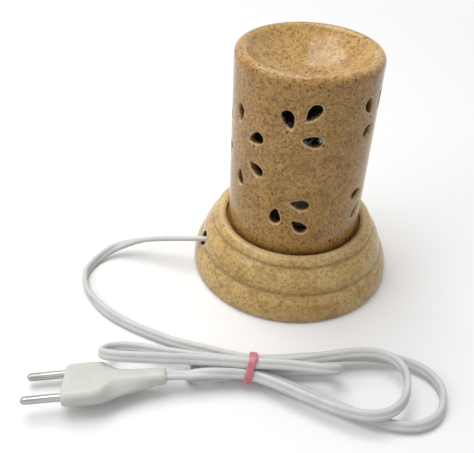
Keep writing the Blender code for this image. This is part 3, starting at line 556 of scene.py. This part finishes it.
def bake(piece, cutters):
    """Bakes a piece's modifiers into its mesh, and removes what cut it."""
    SCENE.collection.objects.link(piece)
    bpy.context.view_layer.update()
    ready = piece.evaluated_get(bpy.context.evaluated_depsgraph_get())
    mesh = bpy.data.meshes.new_from_object(ready)
    SCENE.collection.objects.unlink(piece)
    piece.modifiers.clear()
    piece.data = mesh
    for cutter in cutters:
        bpy.data.objects.remove(cutter, do_unlink=True)


def pierce(piece, cutters):
    """Gives a clay piece a cut for each of its holes."""
    for cutter in cutters:
        SCENE.collection.objects.link(cutter)
        cut = piece.modifiers.new("cut", "BOOLEAN")
        cut.object = cutter
        cut.operation = "DIFFERENCE"
        cut.solver = "EXACT"


def fire(piece, cutters):
    """Pierces a clay piece, then rounds every edge as a fired glaze does."""
    pierce(piece, cutters)
    remesh = piece.modifiers.new("remesh", "REMESH")
    remesh.mode = "VOXEL"
    remesh.voxel_size = CLAY_VOXEL
    soften = piece.modifiers.new("soften", "SMOOTH")
    soften.factor = 0.5
    soften.iterations = CLAY_SMOOTHING
    thin_out = piece.modifiers.new("thin_out", "DECIMATE")
    thin_out.ratio = CLAY_KEPT
    bake(piece, cutters)


def set_attributes(piece, **attributes):
    for name, values in attributes.items():
        made = piece.data.attributes.new(name, "FLOAT", "POINT")
        made.data.foreach_set("value", np.asarray(values, np.float32))


def vertex_places(piece):
    places = np.zeros(len(piece.data.vertices) * 3, np.float32)
    piece.data.vertices.foreach_get("co", places)
    return places.reshape(-1, 3)


def fading(distance, width):
    """One where there is no distance, and less and less as it grows past the width."""
    return np.exp(-(distance / width) ** 2)


def eased(t):
    return t * t * (3 - 2 * t)


def flowing(route, per_span):
    """Points on a smooth curve through a route's own points."""
    stops = [Vector(point) for point in route]
    stops = [2 * stops[0] - stops[1], *stops, 2 * stops[-1] - stops[-2]]
    points = []
    for before, start, end, after in zip(stops, stops[1:], stops[2:], stops[3:]):
        for step in range(per_span):
            t = step / per_span
            bend = 2 * before - 5 * start + 4 * end - after
            twist = 3 * start - before - 3 * end + after
            points.append(start + 0.5 * (t * (end - before) + t * t * bend + t ** 3 * twist))
    points.append(stops[-2])
    return points


def arc(start, end, bulge, count):
    """Points from start up to, but without, end, on an arc that swells to the left of the way by bulge."""
    start = Vector(start)
    end = Vector(end)
    chord = end - start
    half = chord.length / 2
    radius = (half * half + bulge * bulge) / (2 * bulge)
    left = Vector((-chord.y, chord.x)) / chord.length
    centre = (start + end) / 2 - left * (radius - bulge)
    first = math.atan2(start.y - centre.y, start.x - centre.x)
    sweep = -2 * math.asin(half / radius)
    angles = [first + sweep * index / count for index in range(count)]
    return [(centre.x + radius * math.cos(a), centre.y + radius * math.sin(a)) for a in angles]


def nose(radius, start, end, steps):
    """A rod's rounded end, from its side at one height to its middle at another."""
    angles = [math.radians(90 * step / steps) for step in range(1, steps)]
    return [*((radius * math.cos(a), start + (end - start) * math.sin(a)) for a in angles), (0.0, end)]


def rounded(half_width, half_height, corner, count=10):
    """A rectangle with round corners, as points round the middle."""
    ring = []
    for quarter, (sx, sy) in enumerate(((1, 1), (-1, 1), (-1, -1), (1, -1))):
        for step in range(count):
            a = math.radians(90 * quarter + 90 * step / (count - 1))
            x = sx * (half_width - corner) + corner * math.cos(a)
            y = sy * (half_height - corner) + corner * math.sin(a)
            ring.append((x, y))
    return ring


# Cord, plug and band

def along(points):
    lengths = [0.0]
    for first, second in zip(points, points[1:]):
        lengths.append(lengths[-1] + (second - first).length)
    return lengths


def evenly(points, step):
    """The same way with its points an even step apart."""
    lengths = along(points)
    count = max(2, round(lengths[-1] / step))
    made = []
    index = 0
    for number in range(count + 1):
        wanted = lengths[-1] * number / count
        while index < len(lengths) - 2 and lengths[index + 1] < wanted:
            index += 1
        share = (wanted - lengths[index]) / max(1e-9, lengths[index + 1] - lengths[index])
        made.append(points[index].lerp(points[index + 1], min(1.0, share)))
    return made


def flex_section():
    """Half width along X, half thickness along Y: two round cores with a shallow groove between them."""
    radius = FLEX_THICKNESS / 2
    offset = FLEX_WIDTH / 2 - radius
    half = []
    for index in range(-5, 6):
        a = math.radians(84) * index / 5
        half.append((offset + radius * math.cos(a), radius * math.sin(a)))
    half += [(offset * 0.30, radius * 0.99), (0.0, radius * 0.86), (-offset * 0.30, radius * 0.99)]
    return half + [(-x, -y) for x, y in half]


def wide_side(edges, share):
    """The way that the flex's wide side faces at a share of its length."""
    low = max(i for i, (at, _) in enumerate(edges) if at <= share + 1e-9)
    high = min(low + 1, len(edges) - 1)
    gap = edges[high][0] - edges[low][0]
    t = (share - edges[low][0]) / gap if gap > 0 else 0.0
    return Vector(edges[low][1]).lerp(Vector(edges[high][1]), eased(t))


def flex_tube(name, points, edges):
    """Sweeps the flat flex along points; edges are (share of the way, direction of its wide side)."""
    ring = flex_section()
    lengths = along(points)
    core = FLEX_WIDTH / 2 - FLEX_THICKNESS / 2
    sections = []
    path = []
    for index, point in enumerate(points):
        before = points[max(0, index - 1)]
        after = points[min(len(points) - 1, index + 1)]
        way = (after - before).normalized()
        wide = wide_side(edges, lengths[index] / lengths[-1])
        wide = (wide - wide.dot(way) * way).normalized()
        thin = way.cross(wide)
        place = point.copy()
        place.z = max(place.z, abs(wide.z) * core + FLEX_THICKNESS / 2 + FLEX_OFF_FLOOR)
        path.append(place)
        sections.append([place + wide * x + thin * y for x, y in ring])
    return swept(name, sections), path


def waist(row, depth):
    """A strand's place at the waist: row 1 is upper, -1 lower; depth 1 is near, 0 middle, -1 far."""
    tilt = math.radians(WAIST_TILT)
    rise = Vector((0.0, math.cos(tilt), math.sin(tilt)))
    towards = Vector((0.0, -math.sin(tilt), math.cos(tilt)))
    return Vector(WAIST_MIDDLE) + row * ROW_PITCH / 2 * rise + depth * DEPTH_PITCH * towards


def hank_loop(start, end, reach, swell, pinch, drift=0.0, lift=0.0, tilt=0.0):
    """One loop of the hank, as in the part's source: out from the waist to its reach and back again."""
    side = 1 if start.y >= end.y else -1
    points = []
    for index in range(1, LOOP_POINTS):
        u = index / LOOP_POINTS
        half = 0 if u < 0.5 else 1
        out = math.sin(math.pi * u)
        sway = side * math.sin(math.tau * u) * out ** pinch[half]
        place = start.lerp(end, u)
        place.x += reach * out
        place.y += swell[half] * sway + drift * abs(reach) * out
        place.z = start.z + (end.z - start.z) * eased(u) + lift * out - tilt * sway
        points.append(place)
    return points


def plug_frame():
    heading, pitch, roll = (math.radians(angle) for angle in PLUG_TURN)
    turn = Matrix.Rotation(heading, 4, "Z") @ Matrix.Rotation(-pitch, 4, "Y") @ Matrix.Rotation(roll, 4, "X")
    return Matrix.Translation(PLUG_FACE) @ turn


def cord_route(place):
    """The whole way of the cord, and the shares of it where its lead ends and its tail begins."""
    upper_near, upper_middle, upper_far = (waist(1, depth) for depth in (1, 0, -1))
    lower_near, lower_middle, lower_far = (waist(-1, depth) for depth in (1, 0, -1))
    plug_end = place @ Vector((PLUG_LENGTH, 0.0, 0.0))
    plug_way = (place.to_3x3() @ Vector((1, 0, 0))).normalized()
    lead = [Vector(p) for p in LEAD_ROUTE]
    hank = [
        *(Vector(p) for p in HANK_ENTRY), upper_far,
        *hank_loop(upper_far, lower_middle, **OUTER_LOOP), lower_middle,
        *hank_loop(lower_middle, lower_far, **LOWER_FOLD), lower_far,
        *hank_loop(lower_far, upper_near, **SHORT_LOOP), upper_near,
        *hank_loop(upper_near, upper_middle, **UPPER_FOLD), upper_middle,
        *hank_loop(upper_middle, lower_near, **INNER_LOOP), lower_near,
    ]
    into_plug = [plug_end + plug_way * PLUG_NECK, plug_end - plug_way * PLUG_GRIP]
    tail = [*(Vector(p) for p in TAIL_ROUTE), *into_plug]
    stops = lead + hank + tail
    lengths = along(stops)
    lead_end = lengths[len(lead)] / lengths[-1]
    tail_start = lengths[len(lead) + len(hank)] / lengths[-1]
    return evenly(flowing(stops, 4), FLEX_STEP), lead_end, tail_start


def make_cord(place):
    """The flat flex from the hole through the hank into the plug, and its end inside the base."""
    points, lead, tail = cord_route(place)
    plug_side = tuple(place.to_3x3() @ Vector((0, 1, 0)))
    edges = [
        (0.0, FLEX_EDGE_ON), (0.20 * lead, FLEX_EDGE_ON), (0.36 * lead, FLEX_FACING),
        (0.44 * lead, FLEX_FACING), (0.52 * lead, FLEX_ROLLED), (0.62 * lead, FLEX_FACING),
        (lead, FLEX_FACING), (tail, FLEX_FACING), (tail + 0.85 * (1.0 - tail), plug_side), (1.0, plug_side),
    ]
    flex, path = flex_tube("flat_flex", points, edges)
    finish_piece(flex, "base", "white_flex", "cord_lead", "cord_hank", smooth=0)
    inner = evenly(flowing(INNER_ROUTE, 8), FLEX_INSIDE_STEP)
    inside, _ = flex_tube("flex_inside", inner, [(0.0, FLEX_EDGE_ON), (1.0, FLEX_EDGE_ON)])
    finish_piece(inside, "base", "white_flex", "cord_inner", smooth=60)
    return flex, path


def make_plug(place):
    """The moulded body, with soft edges and a short neck round the cord, and two round pins."""
    sections = []
    for x, half_width, half_height, slope in PLUG_PROFILE:
        ring = rounded(half_width / (1 + slope), half_height, half_height * PLUG_CORNER)
        ring = [(y * (1 - slope * z / half_height), z) for y, z in ring]
        sections.append([place @ Vector((x, y, z)) for y, z in ring])
    body = finish_piece(swept("plug", sections), "base", "plug_plastic", "plug_body", smooth=50)
    refine(body)
    profile = [(0.0, -PIN_ROOT), (PIN_RADIUS, -PIN_ROOT), (PIN_RADIUS, PIN_LENGTH - PIN_RADIUS)]
    profile += nose(PIN_RADIUS, PIN_LENGTH - PIN_RADIUS, PIN_LENGTH, 8)
    outward = Matrix.Rotation(-math.pi / 2, 4, "Y")
    pins = []
    for number, side in ((1, 1), (2, -1)):
        to_face = Matrix.Translation((0.0, side * PIN_SPACING / 2, 0.0)) @ outward
        pin = turned(f"pin_{number}", profile, 40, closed=False, place=place @ to_face)
        pins.append(finish_piece(pin, "base", "plated_steel", f"plug_pin_{number}", look="pin_steel"))
    return [body, *pins]


def make_band():
    """A flat rubber band drawn tight round the waist, a little slanted and uneven in width."""
    leaning = Matrix.Translation(WAIST_MIDDLE) @ Matrix.Rotation(math.radians(WAIST_TILT), 4, "X")
    half_height = ROW_PITCH / 2 + FLEX_WIDTH / 2 + BAND_ROOM[0]
    half_depth = DEPTH_PITCH + FLEX_THICKNESS / 2 + BAND_ROOM[1]
    outline = rounded(half_height, half_depth, BAND_CORNER, 12)
    count = len(outline)
    points = []
    for index, (y, z) in enumerate(outline):
        before = outline[index - 1]
        after = outline[(index + 1) % count]
        way = Vector((0.0, after[0] - before[0], after[1] - before[1])).normalized()
        outward = Vector((0.0, way.z, -way.y))
        turn = math.tau * index / count
        slant = BAND_SLANT * y + 0.0005 * math.sin(2 * turn)
        half = BAND_HALF + 0.0003 * math.sin(3 * turn + 0.6)
        centre = Vector((slant, y, z)) + outward * BAND_OFFSET
        for x, depth in BAND_SECTION:
            place = centre + Vector((x * half, 0.0, 0.0)) + outward * depth * BAND_THICKNESS
            points.append(leaning @ place)
    band = mesh_piece("rubber_band", points, skin_faces(count, len(BAND_SECTION), closed=True))
    finish_piece(band, "base", "pink_rubber", "hank_band", smooth=60)
    refine(band)
    return band


# Ceramics

def hole_cutter():
    """A rod along X through the wall, where the cord leaves."""
    graph = bmesh.new()
    size = {"radius1": CORD_HOLE_RADIUS, "radius2": CORD_HOLE_RADIUS, "depth": CORD_HOLE_LENGTH}
    bmesh.ops.create_cone(graph, cap_ends=True, segments=48, **size)
    cutter = graph_object("hole", graph)
    along_x = Vector((1, 0, 0)).to_track_quat("Z", "X").to_matrix().to_4x4()
    cutter.matrix_world = Matrix.Translation(CORD_HOLE) @ along_x
    return cutter


def base_profile():
    """From the deck out over the lip and the tiers to the foot, and back through the hollow."""
    widest = (BASE_RADIUS, FOOT_ROUND_HEIGHT)
    foot = (FOOT_RADIUS, 0.0)
    rebate = HOLLOW_RADIUS + BOARD_REBATE
    chamfer_width, chamfer_height = RECESS_CHAMFER
    profile = [
        (NIPPLE_HOLE, DECK_TOP), (DECK_RING, DECK_TOP), (LIP_INNER[0] - chamfer_width, DECK_TOP),
        (LIP_INNER[0], DECK_TOP + chamfer_height),
    ]
    profile += arc(LIP_INNER, UPPER_CREASE, LIP_BULGE, 30)
    profile += arc(UPPER_CREASE, LOWER_CREASE, TIER_BULGE, 30)
    profile += arc(LOWER_CREASE, widest, TIER_BULGE, 30)
    profile += arc(widest, foot, FOOT_BULGE, 8)
    profile += [
        foot, (rebate, 0.0), (rebate, BOARD_LEDGE), (HOLLOW_RADIUS, BOARD_LEDGE),
        (HOLLOW_RADIUS, HOLLOW_SHOULDER), (DECK_CORNER_RADIUS, DECK_BOTTOM), (NIPPLE_HOLE, DECK_BOTTOM),
    ]
    return profile


def glaze_base(base):
    """Marks the base's glaze darker along the creases and paler round the cord hole's rim, with painted shade
    on the recess floor by the shade's foot and in the cord hole, and a painted highlight along the lip's
    crown.
    """
    x, y, height = vertex_places(base).T
    radius = np.hypot(x, y)
    pool = np.zeros(len(height))
    for crease, deep in ((LOWER_CREASE, 0.5), (UPPER_CREASE, 0.45)):
        near = np.hypot(radius - crease[0], height - crease[1])
        pool = np.maximum(pool, deep * fading(near, CREASE_SPREAD))
    # Painted shade on the recess floor beside the lip, round the shade's foot
    recess = fading(radius - LIP_INNER[0], RECESS_SPREAD) * (height < DECK_TOP + RECESS_SPREAD)
    pool = np.maximum(pool, 0.9 * recess)
    # Painted highlight: a pale line along the crest of the lip
    edge = 0.55 * fading(np.hypot(radius - LIP_CROWN[0], height - LIP_CROWN[1]), LIP_SPREAD)
    hole = np.hypot(y - CORD_HOLE[1], height - CORD_HOLE[2])
    hole_edge = fading(hole - CORD_HOLE_RADIUS, HOLE_SPREAD) * (x < -0.045)
    edge = np.maximum(edge, 0.6 * hole_edge)
    # Painted shade: the glaze inside the cord hole is marked fully dark
    inside_hole = (hole < CORD_HOLE_RADIUS + 0.0003) & (x < 0) & (radius < BASE_RADIUS - 0.0075)
    warm = np.full(len(height), 0.05)
    set_attributes(base, pool=np.maximum(pool, inside_hole), edge=edge, warm=warm)


def bare_base(base):
    """Leaves the underside and the hollow without glaze, and gives the cord hole's wall bare clay darkened as
    painted shade.
    """
    base.data.materials.append(MATERIALS["bare_clay"])
    base.data.materials.append(MATERIALS["shaded_hole_clay"])
    for face in base.data.polygons:
        x, y, z = face.center
        inward = face.normal.x * x + face.normal.y * y < 0 and math.hypot(x, y) < HOLLOW_RADIUS + 0.004
        under = face.normal.z < -0.5
        face.material_index = 1 if z < DECK_BOTTOM + 0.001 and (inward or under) else 0
        # The cord hole's wall takes the darkened clay, as painted shade
        off_middle = math.hypot(y - CORD_HOLE[1], z - CORD_HOLE[2])
        if x < 0 and abs(face.normal.x) < 0.1 and off_middle < CORD_HOLE_RADIUS + 0.0002:
            face.material_index = 2


def make_base():
    base = turned("stoneware_base", base_profile(), 240)
    cutters = [hole_cutter()]
    pierce(base, cutters)
    bake(base, cutters)
    glaze_base(base)
    finish_piece(base, "base", "stoneware", "ceramic_base", smooth=35)
    bare_base(base)


def petal_outline(count):
    """A teardrop from its tip at the origin along +X: a sine that is pinched towards the tip."""
    widest = max(math.sin(a / 100) * math.sin(a / 200) for a in range(315))
    outline = []
    for index in range(count):
        a = math.tau * index / count
        reach = PETAL_LENGTH * (1 - math.cos(a)) / 2
        outline.append((reach, PETAL_WIDTH / 2 * math.sin(a) * math.sin(a / 2) / widest))
    return outline


def petal_cutter(name, azimuth, height, pointing, outline):
    """A petal-shaped punch through the wall, standing square to it."""
    outward = Matrix.Rotation(azimuth, 4, "Z") @ Matrix.Rotation(math.pi / 2, 4, "X")
    middle = Matrix.Translation((0.0, height, SHADE_RADIUS - SHADE_WALL / 2))
    place = outward @ middle @ Matrix.Rotation(math.radians(pointing), 4, "Z")
    ends = (-PUNCH_REACH, PUNCH_REACH)
    return swept(name, [[place @ Vector((x, y, depth)) for x, y in outline] for depth in ends])


def shade_profile():
    """From the middle of the dish over the rim, down the wall, and back up to the underside of the dish."""
    angles = [DISH_EDGE * index / 24 for index in range(24)]
    dish = [(DISH_RADIUS * math.sin(a), DISH_BOTTOM + DISH_RADIUS * (1 - math.cos(a))) for a in angles]
    turns = [(math.pi / 2 + DISH_EDGE) * (1 - index / 16) for index in range(17)]
    rim = [(RIM_MIDDLE + RIM_ROUND * math.cos(a), RIM_HEIGHT + RIM_ROUND * math.sin(a)) for a in turns]
    under = [(r * SHADE_INNER / (SHADE_INNER + DISH_THICKNESS), z - DISH_THICKNESS) for r, z in dish]
    under.append((SHADE_INNER, RIM_HEIGHT - DISH_THICKNESS))
    return dish + rim + [(SHADE_RADIUS, SHADE_BOTTOM), (SHADE_INNER, SHADE_BOTTOM)] + under[::-1]


def outline_gap(points, ring):
    """Least distance from each point to a closed outline."""
    gap = np.full(len(points), 1.0)
    for first, second in zip(ring, np.roll(ring, -1, axis=0)):
        span = second - first
        t = np.clip(((points - first) @ span) / max(1e-12, span @ span), 0, 1)
        gap = np.minimum(gap, np.linalg.norm(points - first - t[:, None] * span, axis=1))
    return gap


def petal_edges(radius, height, round_wall, outline):
    """One on the edge of a petal in the outer wall, fading out beside it; the pale edge is partly thin glaze
    and partly painted highlight.
    """
    edge = np.zeros(len(height))
    wall = radius > SHADE_RADIUS - 0.0016
    half_way = math.pi * SHADE_RADIUS
    beside = PETAL_LENGTH + 0.003
    ring = np.array(outline)
    for turn in range(PETAL_TURNS):
        for middle, tip, pointing in PETALS:
            across = (round_wall - middle - turn * half_way + half_way) % (2 * half_way) - half_way
            up = height - tip
            near = np.nonzero(wall & (np.abs(across) < beside) & (np.abs(up) < beside))[0]
            a = math.radians(pointing)
            c, s = math.cos(a), math.sin(a)
            local = np.stack((across[near] * c + up[near] * s, up[near] * c - across[near] * s), 1)
            edge[near] = np.maximum(edge[near], fading(outline_gap(local, ring), PETAL_SPREAD))
    return edge


def glaze_shade(shade, outline):
    """Marks the shade's glaze paler on petal edges, partly thin glaze and partly painted highlight, with a
    faint painted highlight on the rim, browner towards the middle of the dish, and painted shade at the foot
    and inside.
    """
    x, y, height = vertex_places(shade).T
    radius = np.hypot(x, y)
    edge = petal_edges(radius, height, np.arctan2(x, -y) * SHADE_RADIUS, outline)
    # A faint painted highlight round the rim
    rim_near = np.hypot(radius - RIM_MIDDLE, height - SHADE_TOP)
    edge = np.maximum(edge, 0.05 * fading(rim_near, RIM_SPREAD))
    # Painted shade at the foot of the shade, where it stands in the recess
    pool = 0.75 * fading(height - SHADE_BOTTOM, FOOT_SPREAD) * (radius > SHADE_INNER)
    in_dish = (height > DISH_BOTTOM - 0.001) & (radius < SHADE_INNER)
    pool = np.maximum(pool, 0.18 * fading(radius - SHADE_INNER * 0.2, DISH_SPREAD) * in_dish)
    # Painted shade inside the shade: under the dish and away from the outer skin
    dish_height = DISH_BOTTOM + DISH_RADIUS - np.sqrt(DISH_RADIUS ** 2 - radius ** 2)
    under_dish = height < np.where(radius < 0.031, dish_height - 0.002, RIM_HEIGHT - 0.0045)
    off_wall = np.clip((SHADE_RADIUS - 0.0011 - radius) / 0.0022, 0.0, 1.0)
    inside = off_wall * under_dish * (height > SHADE_BOTTOM + 0.002)
    warm = np.where(radius < SHADE_INNER, 0.6, 1.0)
    set_attributes(shade, pool=np.maximum(pool, inside), edge=edge * (1 - inside), warm=warm)


def make_shade():
    shade = turned("stoneware_shade", shade_profile(), 192, closed=False)
    outline = petal_outline(40)
    cutters = []
    for turn in range(PETAL_TURNS):
        for index, (round_wall, height, pointing) in enumerate(PETALS):
            azimuth = round_wall / SHADE_RADIUS + math.tau / PETAL_TURNS * turn
            cutters.append(petal_cutter(f"punch_{turn}_{index}", azimuth, height, pointing, outline))
    fire(shade, cutters)
    glaze_shade(shade, outline)
    finish_piece(shade, "shade", "stoneware", "ceramic_shade", smooth=0)


# Lamp and holder

def thread_wave(turns, per_turn):
    """A rolled thread's rise from 0 to 1 and back, with the turns it has made."""
    steps = [index / per_turn for index in range(round(turns * per_turn) + 1)]
    return [(0.5 - 0.5 * math.cos(math.tau * turn), turn) for turn in steps]


def make_cap():
    low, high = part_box("lamp_cap")
    start = high.z - (high.z - low.z - THREAD_TURNS * THREAD_PITCH) / 2
    thread = [
        (CAP_ROOT + THREAD_DEPTH * wave, start - turn * THREAD_PITCH)
        for wave, turn in thread_wave(THREAD_TURNS, 10)
    ]
    cap = turned("lamp_screw_cap", [
        (CAP_ROOT, high.z), *thread, (CAP_ROOT, low.z), (CAP_HOLE, low.z), (CAP_HOLE, low.z + CAP_WALL),
        (CAP_INSIDE, low.z + CAP_WALL), (CAP_INSIDE, high.z),
    ], 72)
    finish_piece(cap, "lamp", "brass", "lamp_cap")


def make_bulb():
    """A round bulb that draws in to a neck inside the cap, blown with a thin wall."""
    low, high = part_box("lamp_glass")
    cap_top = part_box("lamp_cap")[1].z
    bulb = high.x
    centre = high.z - bulb
    neck = CAP_INSIDE - SEAT
    dome = [math.radians(90 - 105 * index / 28) for index in range(1, 29)]
    outer = [(0.0, high.z), *((bulb * math.cos(a), centre + bulb * math.sin(a)) for a in dome)]
    last_radius, last_height = outer[-1]
    drop_to_neck = cap_top + GLASS_SHOULDER - last_height
    for step in range(1, 9):
        t = step / 8
        radius = last_radius + (neck + GLASS_WALL - last_radius) * eased(t)
        outer.append((radius, last_height + drop_to_neck * t))
    outer += [(neck, cap_top - SEAT), (neck, low.z)]
    inner = [(max(0.0, r - GLASS_WALL), z - (GLASS_WALL if r < 0.002 else 0.0)) for r, z in outer]
    glass = turned("lamp_bulb", outer + inner[::-1], 72, closed=False)
    finish_piece(glass, "lamp", "lamp_glass", "lamp_glass", smooth=50)


def make_lamp_foot():
    """The black glass under the cap, and the round-nosed contact in its middle."""
    low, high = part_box("lamp_insulator")
    insulator = turned("lamp_black_glass", [
        (0.0, high.z), (CAP_INSIDE, high.z), (CAP_INSIDE - 0.0008, high.z - 0.0008),
        (INSULATOR_TIP + 0.0006, low.z + 0.0004), (INSULATOR_TIP, low.z), (0.0, low.z),
    ], 64, closed=False)
    finish_piece(insulator, "lamp", "black_glass", "lamp_insulator")
    low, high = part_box("lamp_contact")
    profile = [(0.0, high.z), (CONTACT_RADIUS, high.z), (CONTACT_RADIUS, low.z + CONTACT_NOSE)]
    profile += nose(CONTACT_RADIUS, low.z + CONTACT_NOSE, low.z, 6)
    contact = turned("lamp_tip_contact", profile, 48, closed=False)
    finish_piece(contact, "lamp_tip", "plated_steel", "lamp_contact")


def make_holder_body():
    """A moulded cup with softened edges, a groove round it and a ledge inside for the core."""
    low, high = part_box("holder_cup")
    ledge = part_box("holder_core")[0].z - SEAT
    floor = low.z + HOLDER_FLOOR
    outer = HOLDER_RADIUS
    inner = outer - HOLDER_WALL
    chamber = inner - HOLDER_LEDGE
    mouth, brim, heel, depth = 0.0004, 0.0006, 0.0008, 0.0004
    groove_top, groove_end = high.z - 0.004, high.z - 0.006
    cup = turned("holder_body", [
        (inner, high.z - mouth), (inner + mouth, high.z), (outer - brim, high.z), (outer, high.z - brim),
        (outer, groove_top), (outer - depth, groove_top - depth), (outer - depth, groove_end + depth),
        (outer, groove_end), (outer, low.z + heel), (outer - heel, low.z), (NIPPLE_HOLE, low.z),
        (NIPPLE_HOLE, floor), (chamber, floor), (chamber, ledge), (inner, ledge),
    ])
    finish_piece(cup, "base", "holder_plastic", "holder_cup", smooth=30)


def make_holder_shell():
    """A pressed brass shell with a rolled thread and a foot flange."""
    low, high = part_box("holder_shell")
    foot = high.x
    back = SHELL_BORE + SHELL_WALL
    wave = [(rise, high.z - 0.0012 - turn * THREAD_PITCH) for rise, turn in thread_wave(4.5, 8)]
    shell = turned("holder_screw_shell", [
        (SHELL_BORE, high.z), *((SHELL_BORE + SHELL_WALL * 0.2 * rise, z) for rise, z in wave),
        (SHELL_BORE, low.z), (foot, low.z), (foot, low.z + SHELL_WALL), (back, low.z + SHELL_WALL),
        *((back, z) for _, z in wave[::-12]), (back, high.z),
    ], 72)
    finish_piece(shell, "base", "brass", "holder_shell", smooth=30)


def wire_piece(name, node, slot, route):
    """A round core that follows its route, in place of its CAD solid."""
    points = evenly(route, 0.0006)
    turns = [math.tau * step / 12 for step in range(12)]
    sections = []
    side = Vector((0.3, 1.0, 0.2))
    for index, point in enumerate(points):
        way = (points[min(index + 1, len(points) - 1)] - points[max(index - 1, 0)]).normalized()
        side = (side - side.dot(way) * way).normalized()
        other = way.cross(side)
        spokes = [side * math.cos(a) + other * math.sin(a) for a in turns]
        sections.append([point + spoke * CORE_DIAMETER / 2 for spoke in spokes])
    finish_piece(swept(name, sections), "base", slot, node, smooth=60)


def make_wires():
    """The two cores from the end of the flex up through the nipple to their terminals."""
    inner = flowing(INNER_ROUTE, 2)
    way = (inner[-1] - inner[-2]).normalized()
    across = way.cross(Vector((0, 0, 1))).normalized() * (CORE_PITCH / 2)
    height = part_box("holder_core")[0].z - SEAT - TERMINAL_HEIGHT / 2
    up_and_out = (
        (CORE_OFFSET, CORE_GATHER), (CORE_OFFSET, DECK_TOP), (CORE_OFFSET, height - 2 * CORE_DIAMETER),
        (CORE_OFFSET + CORE_DIAMETER / 2, height - CORE_DIAMETER / 3),
        (CORE_OFFSET + CORE_DIAMETER, height), (CORE_END, height),
    )
    for name, side, middle in (("live", 1, LIVE_ROUTE), ("neutral", -1, NEUTRAL_ROUTE)):
        start = inner[-1] + way * SEAT - side * across
        points = [start + way * CORE_DIAMETER, *(Vector(p) for p in middle)]
        points += [Vector((side * x, 0.0, z)) for x, z in up_and_out]
        wire_piece(f"wire_{name}", f"core_{name}", f"{name}_core", [start, *flowing(points, 6)])


def dress_nodes():
    """Finishes for the CAD nodes that keep their own shape."""
    slots = {row["node"]: row["material_slot"] for row in frame["record"]["subparts"]}
    for name, node in NODES.items():
        if not node.hide_render:
            node.data.materials.clear()
            node.data.materials.append(MATERIALS[slots[name]])


# Studio

def seen_directly(tree):
    """One where the camera, a glossy surface or clear glass looks at a surface, else zero."""
    path = tree.nodes.new("ShaderNodeLightPath")
    share = path.outputs["Is Camera Ray"]
    for ray in ("Is Glossy Ray", "Is Transmission Ray"):
        either = tree.nodes.new("ShaderNodeMath")
        either.operation = "MAXIMUM"
        tree.links.new(share, either.inputs[0])
        tree.links.new(path.outputs[ray], either.inputs[1])
        share = either.outputs[0]
    return share


def floor_finish():
    """A floor that shows as white with the object's shadow and fades to plain white, and lights as grey."""
    s = Shader("floor", 0.9, Specular_IOR_Level=0.1)
    s.set("Base Color", s.mix(s.ramp(s.noise(8, 2.0), 0.3, 0.7), (0.56, 0.56, 0.58), (0.54, 0.54, 0.56)))
    white = s.node("BsdfDiffuse", {"Color": WHITE})
    glow = s.node("Emission", {"Color": WHITE, "Strength": 1.0})
    distance = s.node("VectorMath", {0: s.place}, operation="LENGTH")
    far = s.ramp(distance.outputs["Value"], *FLOOR_FADE)
    seen = s.mix_shader(far, white.outputs[0], glow.outputs[0])
    shown = s.mix_shader(seen_directly(s.tree), s.principled.outputs[0], seen)
    s.feed(s.tree.nodes["Material Output"].inputs["Surface"], shown)
    return s.material


def make_floor():
    graph = bmesh.new()
    bmesh.ops.create_grid(graph, x_segments=1, y_segments=1, size=FLOOR_HALF)
    floor = graph_object("floor", graph)
    SCENE.collection.objects.link(floor)
    floor.data.materials.append(floor_finish())


def make_world():
    """Soft light from all round, seen as plain white."""
    world = bpy.data.worlds.new("studio")
    SCENE.world = world
    world.use_nodes = True
    tree = world.node_tree
    tree.nodes.clear()
    mix = tree.nodes.new("ShaderNodeMixShader")
    tree.links.new(seen_directly(tree), mix.inputs[0])
    for socket, strength in ((mix.inputs[1], SOFT_LIGHT), (mix.inputs[2], 1.0)):
        background = tree.nodes.new("ShaderNodeBackground")
        background.inputs["Color"].default_value = WHITE
        background.inputs["Strength"].default_value = strength
        tree.links.new(background.outputs[0], socket)
    out = tree.nodes.new("ShaderNodeOutputWorld")
    tree.links.new(mix.outputs[0], out.inputs["Surface"])


def make_lights():
    """Area lamps that look at the object, each with its long side along the depth of the room."""
    for name, place, size, power in LAMPS:
        data = bpy.data.lights.new(name, "AREA")
        data.shape = "RECTANGLE"
        data.size, data.size_y = size
        data.energy = power
        lamp = bpy.data.objects.new(name, data)
        SCENE.collection.objects.link(lamp)
        away = (Vector(place) - Vector(LAMPS_AIM)).normalized()
        across = Vector((0.0, 1.0, 0.0)).cross(away).normalized()
        turn = Matrix((across, away.cross(across), away)).transposed()
        lamp.matrix_world = Matrix.Translation(place) @ turn.to_4x4()


make_camera()
PLUG_PLACE = plug_frame()
FLEX, FLEX_PATH = make_cord(PLUG_PLACE)
PLUG_PIECES = make_plug(PLUG_PLACE)
BAND = make_band()
make_base()
make_shade()
make_cap()
make_bulb()
make_lamp_foot()
make_holder_body()
make_holder_shell()
make_wires()
dress_nodes()
make_floor()
make_world()
make_lights()
